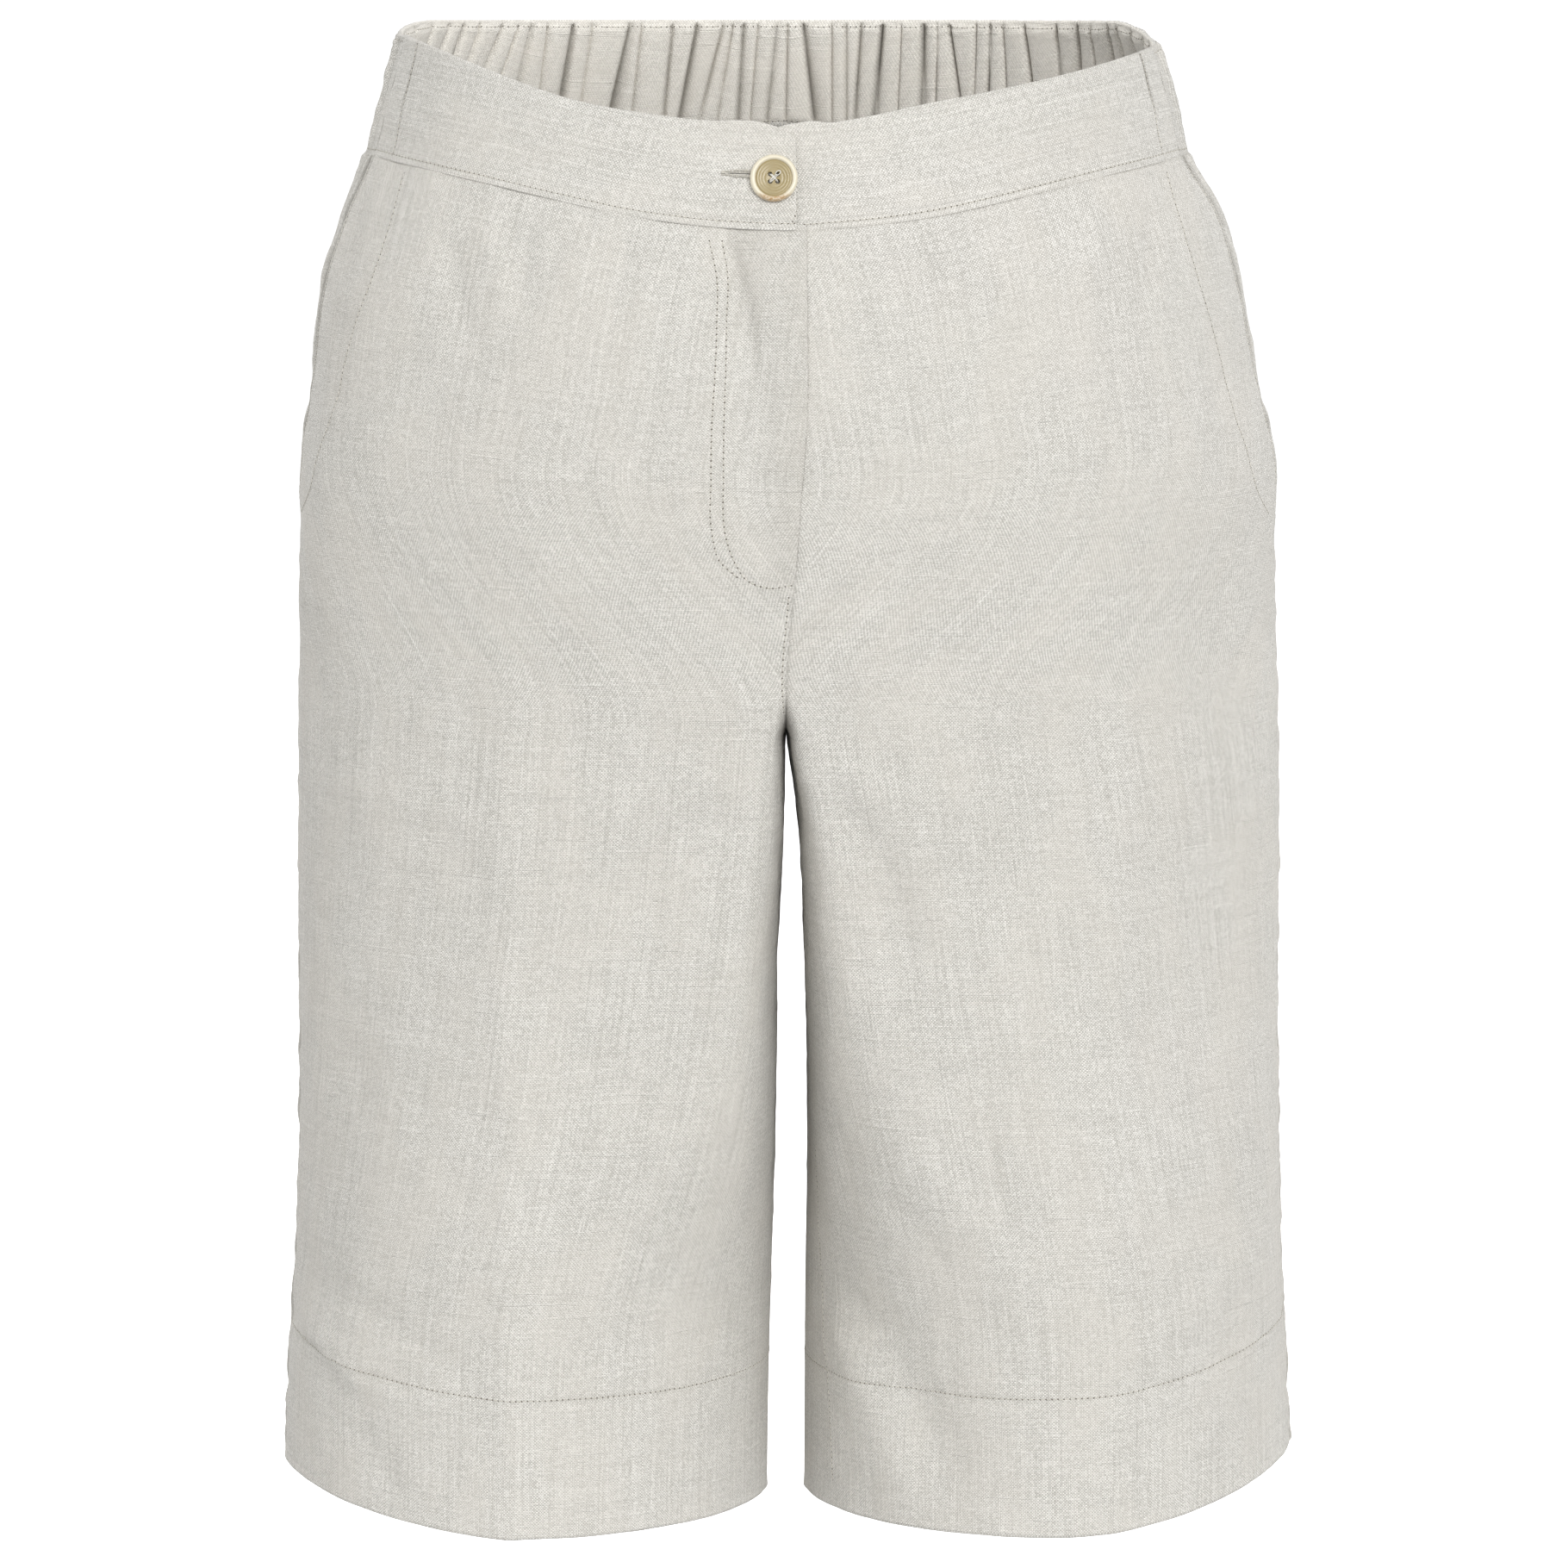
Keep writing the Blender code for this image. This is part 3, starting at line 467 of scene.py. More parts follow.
def column_lengths(points):
    """Length down each column from its first row."""
    return row_lengths(points.transpose(1, 0, 2)).T


def grain_of(points):
    """The cloth's grain on a grid whose rows and columns follow its threads."""
    return np.stack([row_lengths(points), column_lengths(points)], axis=-1)


# ---------------------------------------------------------------- folds and gathers

def crease_height(side, face, points):
    """How far the creases of one panel move its points out."""
    out = side * points[..., 0]
    level = points[..., 2]
    height = np.zeros(out.shape)
    for entry in CREASES[side, face]:
        crease = dict(zip(CREASE_COLUMNS, entry))
        run = np.array([crease["x_to"] - crease["x_from"], crease["level_to"] - crease["level_from"]])
        length = float(np.hypot(*run))
        start = np.stack([out - crease["x_from"], level - crease["level_from"]], axis=-1)
        share = np.clip(start @ run / length ** 2, 0.0, 1.0)
        across = (start[..., 0] * run[1] - start[..., 1] * run[0]) / length
        beyond = np.linalg.norm(start - share[..., None] * run, axis=-1) - np.abs(across)
        across = across + crease["bow"] * 4 * share * (1.0 - share)
        width = crease["width"] * np.where(across > 0, 1.0 + crease["steep"], 1.0 - crease["steep"])
        away = np.hypot(across, np.maximum(beyond, 0.0)) / width
        soft = np.exp(-away * away)
        pressed = np.exp(-1.6 * away)
        fade = np.minimum(1.0, 4.0 * np.minimum(share, 1.0 - share) + 0.15)
        height += crease["height"] * fade * ((1.0 - crease["sharp"]) * soft + crease["sharp"] * pressed)
    return height


def ripple(u, v, seed, longest, shortest, lean=1.0, waves=28):
    """Gentle unevenness about 1 high; lean above 1 draws it out along u."""
    rng = np.random.default_rng(seed)
    height = np.zeros(np.shape(u))
    total = 0.0
    for _ in range(waves):
        span = shortest * (longest / shortest) ** rng.random()
        turn = rng.random() * 2 * math.pi
        weight = (span / longest) ** 0.7
        phase = rng.random() * 2 * math.pi
        along = u * math.cos(turn) / lean + v * math.sin(turn)
        height = height + weight * np.sin(2 * math.pi * along / span + phase)
        total += weight ** 2
    return height / math.sqrt(total)


def gather_place(phase):
    """Shares of the back's length for gathers of uneven width."""
    slow = GATHER_DRIFT * np.sin(6 * math.pi * phase)
    quick = GATHER_DRIFT / 2 * np.sin(14 * math.pi * phase)
    return phase + slow + quick


def gather_height(phase, drop):
    """How far the back's gathers stand out, at a phase and a drop below the seam."""
    number = np.floor(phase * GATHERS_PER_HALF)
    uneven = 1.0 + GATHER_UNEVEN * np.sin(2.4 * number)
    reach = GATHER_FADE * (1.0 + 0.35 * np.sin(1.7 * number))
    fade = np.clip(1.0 - np.asarray(drop) / reach, 0.0, 1.0) ** 1.5
    wave = np.sin(2 * math.pi * GATHERS_PER_HALF * phase)
    peaked = np.sign(wave) * np.abs(wave) ** np.where(wave > 0, 0.8, 1.4)
    return GATHER_HEIGHT * uneven * fade * peaked


def valley_relief(along, share):
    """How far the inside of the back waistband swells between its valleys, and their depth."""
    relief = np.zeros(along.shape)
    valleys = np.zeros(along.shape)
    number_of = np.arange(len(VALLEYS))
    lean = 0.4 * np.sin(1.9 * number_of)
    for k in range(len(along)):
        centres = VALLEY["bottom"] + (VALLEY["top"] - VALLEY["bottom"]) * share[k, 0]
        widths = VALLEY["width_bottom"] + (VALLEY["width_top"] - VALLEY["width_bottom"]) * share[k, 0]
        right = np.clip(np.searchsorted(centres, along[k]), 1, len(centres) - 1)
        gap = centres[right] - centres[right - 1]
        part = np.clip((along[k] - centres[right - 1]) / gap, 0.0, 1.0)
        peak = 0.5 + 0.24 * np.sin(2.3 * right)
        part = np.where(part < peak, part / peak, (1.0 - part) / (1.0 - peak))
        swell = SWELL * np.minimum(1.0, gap / PLEAT_WIDTH) ** 0.8 * np.sqrt(1.0 - (1.0 - part) ** 2)
        away = (along[k][:, None] - centres) / (VALLEY_WIDTH_SCALE * widths)
        away = np.abs(away / np.where(away > 0, 1.0 + lean, 1.0 - lean))
        valleys[k] = (VALLEY["depth"] * np.exp(-away ** 1.3)).max(axis=-1)
        relief[k] = swell - VALLEY_SCALE * valleys[k]
    return relief, valleys


# ---------------------------------------------------------------- making meshes

def linked(name, data):
    """An object of the scene from its mesh, light or camera."""
    node = bpy.data.objects.new(name, data)
    bpy.context.scene.collection.objects.link(node)
    return node


def from_bmesh(name, mesh):
    """An object of the scene from a bmesh, which is used up."""
    data = bpy.data.meshes.new(name)
    mesh.to_mesh(data)
    mesh.free()
    return linked(name, data)


def grid_object(name, points, grain, turn, around=False, slit=None, painted_shade=None):
    """A sheet of quads from a grid of points, with its grain in metres as its UV map.

    Painted shade says how dark each point is painted where it lies in a crevice, a seam or a fold; it goes
    to the material as a point attribute.
    Around joins the last row to the first, for a piece whose rows run round its profile.
    A slit is cut through such a piece, above its row, from one column to another.
    """
    rows, columns = points.shape[:2]
    index = np.arange(rows * columns).reshape(rows, columns)
    if around:
        index = np.concatenate([index, index[:1]])
    a = index[:-1, :-1]
    b = index[:-1, 1:]
    c = index[1:, 1:]
    d = index[1:, :-1]
    quads = np.stack([a, b, c, d] if turn > 0 else [a, d, c, b], axis=-1)
    keep = np.ones(quads.shape[:2], dtype=bool)
    walls = []
    if slit is not None:
        lip, first, last = slit
        opposite = rows - 1 - lip
        keep[lip, first:last] = False
        keep[opposite - 1, first:last] = False
        for k in range(first, last):
            walls.append((index[lip, k], index[lip, k + 1], index[opposite, k + 1], index[opposite, k]))
            walls.append((index[lip + 1, k], index[lip + 1, k + 1],
                          index[opposite - 1, k + 1], index[opposite - 1, k]))
        for k in (first, last):
            walls.append((index[lip, k], index[lip + 1, k], index[opposite - 1, k], index[opposite, k]))
    faces = [list(map(int, quad)) for quad in quads[keep]] + [list(map(int, wall)) for wall in walls]
    if around:
        first = [int(k) for k in index[:-1, 0]]
        last = [int(k) for k in index[:-1, -1]]
        faces += [first if turn > 0 else first[::-1], last[::-1] if turn > 0 else last]
    data = bpy.data.meshes.new(name)
    data.from_pydata((points.reshape(-1, 3) * MM).tolist(), [], faces)
    layer = data.uv_layers.new(name="grain")
    corners = np.empty(len(data.loops), dtype=np.int32)
    data.loops.foreach_get("vertex_index", corners)
    layer.data.foreach_set("uv", (grain.reshape(-1, 2)[corners] * MM).ravel())
    if painted_shade is not None:
        data.attributes.new("painted_shade", "FLOAT", "POINT").data.foreach_set("value", painted_shade.ravel())
    if around:
        mesh = bmesh.new()
        mesh.from_mesh(data)
        bmesh.ops.recalc_face_normals(mesh, faces=mesh.faces)
        mesh.to_mesh(data)
        mesh.free()
    data.shade_smooth()
    return linked(name, data)


def thickened(node, thickness):
    """Give a sheet its thickness, inwards from its outer surface."""
    solid = node.modifiers.new("thickness", "SOLIDIFY")
    solid.thickness = thickness * MM
    solid.offset = -1.0
    solid.use_quality_normals = True
    return node


def plain_object(name, verts, faces):
    """A mesh object from points in millimetres."""
    data = bpy.data.meshes.new(name)
    data.from_pydata([tuple(np.asarray(v) * MM) for v in verts], [], faces)
    data.shade_smooth()
    return linked(name, data)


def dress(node, material, slot, *nodes):
    """Give a piece its material and its place on the body, and hide what it stands for."""
    node.data.materials.clear()
    node.data.materials.append(material)
    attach(node, "root")
    if nodes:
        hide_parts(*nodes)
    return node


# ---------------------------------------------------------------- node groups

def made(tree, kind, inputs=(), **settings):
    """A node with these settings, its inputs linked or set, each by name or number."""
    node = tree.nodes.new(kind)
    for key, value in settings.items():
        setattr(node, key, value)
    for key, value in inputs:
        if isinstance(value, bpy.types.NodeSocket):
            tree.links.new(value, node.inputs[key])
        else:
            node.inputs[key].default_value = value
    return node


def calculate(tree, operation, *values):
    return made(tree, "ShaderNodeMath", enumerate(values), operation=operation).outputs[0]


def combine(tree, *values):
    return made(tree, "ShaderNodeCombineXYZ", enumerate(values)).outputs[0]


def noise(tree, vector, scale, detail, roughness=0.5):
    inputs = (("Vector", vector), ("Scale", scale), ("Detail", detail), ("Roughness", roughness))
    return made(tree, "ShaderNodeTexNoise", inputs).outputs["Fac"]


def blend_values(tree, share, first, second):
    inputs = ((0, share), (2, first), (3, second))
    return made(tree, "ShaderNodeMix", inputs, data_type="FLOAT").outputs[0]


def blend_colours(tree, share, first, second):
    inputs = ((0, share), (6, first), (7, second))
    return made(tree, "ShaderNodeMix", inputs, data_type="RGBA").outputs[2]


def paint(colour, share=1.0):
    """A colour, darker or paler by a share, as a socket takes it."""
    return (*(c * share for c in colour), 1.0)


def raise_surface(tree, shader, height, distance, strength=1.0):
    """Let a height stand out of the shader's surface."""
    inputs = (("Strength", strength), ("Distance", distance), ("Height", height))
    tree.links.new(made(tree, "ShaderNodeBump", inputs).outputs["Normal"], shader.inputs["Normal"])


def object_place(tree):
    """Places on the object, for a finish that doesn't follow a grain."""
    return tree.nodes.new("ShaderNodeTexCoord").outputs["Object"]


def remap(tree, value, low, high, to_low, to_high):
    inputs = (("From Min", low), ("From Max", high), ("To Min", to_low), ("To Max", to_high),
              ("Value", value))
    return made(tree, "ShaderNodeMapRange", inputs, interpolation_type="SMOOTHSTEP").outputs["Result"]


def new_group(name, inputs, outputs):
    """A shader node group with named sockets: (name, kind, default) for each input."""
    tree = bpy.data.node_groups.new(name, "ShaderNodeTree")
    for label, kind, default in inputs:
        socket = tree.interface.new_socket(label, in_out="INPUT", socket_type=kind)
        socket.default_value = default
    for label, kind in outputs:
        tree.interface.new_socket(label, in_out="OUTPUT", socket_type=kind)
    return tree, tree.nodes.new("NodeGroupInput"), tree.nodes.new("NodeGroupOutput")


THREAD_TONE = 1.35
FLECK_TONE = 0.1
CROSSING_TONE = 0.5
# Painted shade: the threads' relief also darkens the tone between threads and pales it on their backs.
THREAD_RELIEF_SHADE = 0.35
OVER_TONE = 0.5
TONE_MIDDLE = (THREAD_TONE + FLECK_TONE + CROSSING_TONE + OVER_TONE) / 2 + 0.6 * THREAD_RELIEF_SHADE


def plain_weave_group():
    """Warp and weft over and under each other, with slubs and threads of uneven tone."""
    name = "Plain weave"
    if name in bpy.data.node_groups:
        return bpy.data.node_groups[name]
    kind = "NodeSocketFloat"
    tree, given, result = new_group(
        name,
        (("Pitch", kind, 0.00055), ("Slub", kind, 1.0), ("Place", kind, 0.0)),
        (("Tone", kind), ("Height", kind), ("Cloud", kind)),
    )

    def times(value, factor):
        return calculate(tree, "MULTIPLY", value, factor)

    def round_thread(threads):
        """0 between two threads and 1 on the back of each."""
        return calculate(tree, "SINE", times(calculate(tree, "FRACT", threads), math.pi))

    grain = made(tree, "ShaderNodeUVMap", uv_map="grain").outputs["UV"]
    parts = made(tree, "ShaderNodeSeparateXYZ", ((0, grain),))
    place = given.outputs["Place"]
    warp = calculate(tree, "DIVIDE", parts.outputs[0], given.outputs["Pitch"])
    weft = calculate(tree, "DIVIDE", parts.outputs[1], given.outputs["Pitch"])
    wander = noise(tree, combine(tree, times(weft, 0.02), warp, place), 0.35, 2.0)
    warp = calculate(tree, "ADD", warp, times(wander, 1.4))
    round_warp = round_thread(warp)
    round_weft = round_thread(weft)
    crossing = calculate(tree, "ADD", calculate(tree, "FLOOR", warp), calculate(tree, "FLOOR", weft))
    over = calculate(tree, "FLOORED_MODULO", crossing, 2.0)
    warp_up = times(round_warp, blend_values(tree, round_weft, 0.4, 1.0))
    weft_up = times(round_weft, blend_values(tree, round_warp, 0.4, 1.0))
    threads = blend_values(tree, over, weft_up, warp_up)
    warp_tone = noise(tree, combine(tree, warp, times(weft, 0.011), place), 0.75, 2.0, 0.6)
    far = calculate(tree, "ADD", place, 31.0)
    weft_tone = noise(tree, combine(tree, times(warp, 0.02), weft, far), 0.75, 2.0, 0.6)
    tone = blend_values(tree, blend_values(tree, over, 0.5, 0.72), weft_tone, warp_tone)
    fleck = noise(tree, combine(tree, warp, weft, place), 0.45, 1.0, 0.5)
    cell = combine(tree, calculate(tree, "FLOOR", warp), calculate(tree, "FLOOR", weft), place)
    crossing_tone = made(tree, "ShaderNodeTexWhiteNoise", (("Vector", cell),), noise_dimensions="3D")
    shade = times(tone, THREAD_TONE)
    # The threads' relief is added to the tone as painted shade.
    for value, weight in ((fleck, FLECK_TONE), (crossing_tone.outputs["Value"], CROSSING_TONE),
                          (threads, THREAD_RELIEF_SHADE), (over, OVER_TONE)):
        shade = calculate(tree, "MULTIPLY_ADD", value, weight, shade)
    slub = remap(tree, warp_tone, 0.56, 0.72, 0.0, 1.0)
    slub = calculate(tree, "ADD", slub, remap(tree, weft_tone, 0.57, 0.73, 0.0, 1.0))
    slub = times(slub, given.outputs["Slub"])
    height = calculate(tree, "ADD", threads, slub)
    cloud = noise(tree, combine(tree, warp, times(weft, 0.6), far), 0.022, 3.0, 0.55)
    tree.links.new(shade, result.inputs["Tone"])
    tree.links.new(height, result.inputs["Height"])
    tree.links.new(cloud, result.inputs["Cloud"])
    return tree


def new_material(name):
    material = bpy.data.materials.new(name)
    material.use_nodes = True
    shader = material.node_tree.nodes["Principled BSDF"]
    return material, material.node_tree, shader


# The inside of the back waistband: the same linen, warmer, and brighter by painted light.
INSIDE_PAINTED_LIGHT = (0.35, 1.24)


def linen_material(name, place, warmth=0.0, shade=1.0):
    """Linen: pale and darker threads, slubs, and a matte surface with a little sheen. Painted shade darkens
    it towards the crevice colour where the mesh's attribute asks, and shade scales all its colours.
    """
    looks = bpy.context.scene.shorts_looks
    material, tree, shader = new_material(name)
    inputs = (("Pitch", looks.thread_pitch), ("Slub", looks.slub), ("Place", place))
    weave = made(tree, "ShaderNodeGroup", inputs, node_tree=plain_weave_group())
    tone = remap(tree, weave.outputs["Tone"], TONE_MIDDLE - looks.tone_range,
                 TONE_MIDDLE + looks.tone_range, 0.0, 1.0)
    colour = blend_colours(tree, tone, paint(looks.dark_thread, shade), paint(looks.light_thread, shade))
    cloud = remap(tree, weave.outputs["Cloud"], 0.4, 0.66, warmth, warmth + looks.mottle)
    colour = blend_colours(tree, cloud, colour, paint(looks.warm_thread, shade))
    # Painted shade: the point attribute mixes the crevice colour into the cloth.
    painted_shade = made(tree, "ShaderNodeAttribute", attribute_name="painted_shade")
    colour = blend_colours(tree, painted_shade.outputs["Fac"], colour, paint(looks.crevice))
    tree.links.new(colour, shader.inputs["Base Color"])
    raise_surface(tree, shader, weave.outputs["Height"], looks.thread_height, looks.weave_bump)
    shader.inputs["Roughness"].default_value = 0.88
    shader.inputs["Specular IOR Level"].default_value = 0.25
    shader.inputs["Sheen Weight"].default_value = 0.12
    shader.inputs["Sheen Roughness"].default_value = 0.5
    return material


def side_linen(side, piece):
    """The linen of one side's piece."""
    return linen_material(f"{SIDE_NAMES[side]}_{piece}_linen", place=LINEN_PLACES[piece] + side)


def thread_material(name, colour):
    """Sewing thread, spun so that its tone varies a little."""
    material, tree, shader = new_material(name)
    spot = object_place(tree)
    share = noise(tree, spot, 900.0, 2.0)
    mixed = blend_colours(tree, share, paint(colour, 0.72), paint(colour))
    tree.links.new(mixed, shader.inputs["Base Color"])
    raise_surface(tree, shader, noise(tree, spot, 4000.0, 1.0), 0.0001)
    shader.inputs["Roughness"].default_value = 0.7
    return material


def needle_hole_shade_material():
    """Painted shade: the dark colour of the dots that stand for the needle holes."""
    material, tree, shader = new_material("needle_hole_painted_shade")
    share = noise(tree, object_place(tree), 300.0, 1.0)
    colour = blend_colours(tree, share, (0.13, 0.12, 0.095, 1.0), (0.22, 0.20, 0.165, 1.0))
    tree.links.new(colour, shader.inputs["Base Color"])
    shader.inputs["Roughness"].default_value = 0.95
    return material


# ---------------------------------------------------------------- properties

def length(name, description, default):
    return bpy.props.FloatProperty(name=name, description=description, default=default,
                                   subtype="DISTANCE", unit="LENGTH", precision=5)


def colour(name, description, default):
    return bpy.props.FloatVectorProperty(name=name, description=description, default=default,
                                         subtype="COLOR", size=3, min=0.0, max=1.0)


def number(name, description, default, **more):
    return bpy.props.FloatProperty(name=name, description=description, default=default, **more)


class ShortsLooks(bpy.types.PropertyGroup):
    """Colours of the linen and the fineness of its weave."""
    thread_pitch: length("Thread pitch", "Distance between neighbouring threads", 0.00058)
    thread_height: length("Thread height", "How far a thread stands out of the weave", 0.00022)
    weave_bump: number("Weave relief", "Strength of the woven relief", 0.8, min=0.0, max=1.0)
    slub: number("Slubs", "How strong the thick places in the yarn are", 0.9, min=0.0)
    tone_range: number("Tone range", "How far a thread's tone strays before it is all light or dark", 0.5)
    mottle: number("Mottle", "Share of the warm tint in the cloth's clouding", 0.3, min=0.0, max=1.0)
    light_thread: colour("Light thread", "The palest yarn", (0.84, 0.82, 0.775))
    dark_thread: colour("Dark thread", "The darkest yarn", (0.46, 0.445, 0.405))
    warm_thread: colour("Warm tint", "The clouding's tint", (0.68, 0.645, 0.585))
    # The colour of painted shade, mixed into the linen where it lies in a crevice.
    crevice: colour("Crevice", "Cloth deep in a crevice", (0.12, 0.105, 0.08))
    sewing_thread: colour("Sewing thread", "The stitching's thread", (0.66, 0.63, 0.56))


class ShortsCloth(bpy.types.PropertyGroup):
    """Sizes of the cloth and of its unevenness."""
    thickness: length("Cloth thickness", "Thickness of one layer of linen", 0.0005)
    band_thickness: length("Waistband thickness", "Thickness of the doubled waistband", 0.0019)
    crumple: length("Crumple", "Height of the cloth's soft unevenness", 0.00028)
    pucker: length("Pucker", "Height of the small puckers beside stitching", 0.00014)


class ShortsStitches(bpy.types.PropertyGroup):
    """Sizes of the stitching."""
    stitch: length("Stitch", "Length of one stitch", 0.0017)
    gap: length("Gap", "Distance between stitches", 0.0006)
    radius: length("Thread radius", "Radius of the sewing thread", 0.00016)


class ShortsButton(bpy.types.PropertyGroup):
    """Sizes and colours of the button."""
    radius: length("Radius", "Radius of the button", 0.0088)
    thickness: length("Thickness", "Thickness at its rim", 0.003)
    lift: length("Lift", "How far its back stands off the frame's waistband", 0.0005)
    level: length("Level", "Height of its middle over the origin", -0.0166)
    face: colour("Face", "Colour of its dished face", (0.36, 0.285, 0.135))
    rim: colour("Rim", "Colour of its pale rim", (0.76, 0.70, 0.55))
    # Painted shade: the colour that darkens the rim's lower edge.
    rim_lower_shade: colour("Rim's dark edge", "Colour at the lower edge of its rim", (0.40, 0.24, 0.10))


class ShortsStudio(bpy.types.PropertyGroup):
    """The floor, the lights and the camera."""
    floor_level: length("Floor level", "Height of the floor under the waist", -1.05)
    floor_radius: length("Floor radius", "Radius of the round floor", 9.0)
    camera_distance: length("Camera distance", "From the waist's axis to the camera", 2.1)
    camera_height: length("Camera height", "Height of the camera over the waist", 0.045)
    camera_pitch: bpy.props.FloatProperty(name="Camera pitch", description="How far the camera looks down",
                                          default=math.radians(8.2), subtype="ANGLE")


# ---------------------------------------------------------------- the leg panels

FRONT_COLUMNS = 104
BACK_COLUMNS = 126
CORNER_SHARES = (0.62, 0.75)
CORNER_PLACES = (0.52, 0.75)
NEAR_EDGE = np.array([0.0, 0.004, 0.009, 0.017])
UNDER_REACH = (1.2, 4.0)
OVER_REACH = (0.3,)
CALM_WITHIN = 22.0
CROTCH_CLOSES = (198.0, 210.0)
CLOSED_WITHIN = 7.0
CLOSED_OVERLAP = 0.11
# The most that painted shade may darken the cloth.
DEEPEST_PAINTED_SHADE = 0.9

# How far the front stops short of the side seam at the pocket's mouth, by level.
MOUTH_COLUMNS = ("level", "short")
MOUTH_EDGE = (
    (-9, 1.0),
    (-24, 2.5),
    (-48, 5.5),
    (-78, 8.0),
    (-100, 7.0),
    (-120, 3.5),
    (-140, 0.5),
    (-150, 0.0),
)
UNDER_FRONT = (14.0, 11.5, 9.8, 8.6, 7.5, 6.5, 5.6, 4.7, 3.9, 3.1, 2.3, 1.6, 0.9)

# Where a streak of painted shade runs beside the fly's stitching, along its crease: how far out it is, by
# how far down.
FLY_CREASE = {"drop": (34.0, 61.0, 97.0, 150.0), "out": (20.5, 12.5, 8.5, 6.0)}


def panel_nominals():
    """Nominal levels of a panel's rows, closer together where the legs fork."""
    above = np.array([2.4, 1.4, 0.7, 0.2, -0.4, -1.2]) + PANEL_TOP
    body = np.arange(PANEL_TOP - 2.4, CROTCH_LEVEL + 35.0, -2.1)
    fork = CROTCH_LEVEL + 35.0 * (1.0 - np.linspace(0.02, 1.0, 34)) ** 1.7
    thigh = CROTCH_LEVEL - 22.0 * np.linspace(0.06, 1.0, 14) ** 1.4
    leg = np.linspace(CROTCH_LEVEL - 24.2, HEM_LEVEL + 2.4, 122)
    edge = HEM_LEVEL + np.array([1.5, 0.9, 0.5])
    return np.concatenate([above, body, fork, thigh, leg, edge])


def with_reach(points, reaches):
    """Points run on straight beyond the last column, by these reaches."""
    direction = unit(points[:, -1] - points[:, -4])
    more = [points[:, -1] + direction * reach for reach in reaches]
    return np.concatenate([points, np.stack(more, axis=1)], axis=1)


def read_rows(points, at):
    """Points of each row of a grid at these lengths from its first column."""
    lengths = row_lengths(points)
    return np.stack([along_line(at[k], lengths[k], points[k]) for k in range(len(points))])


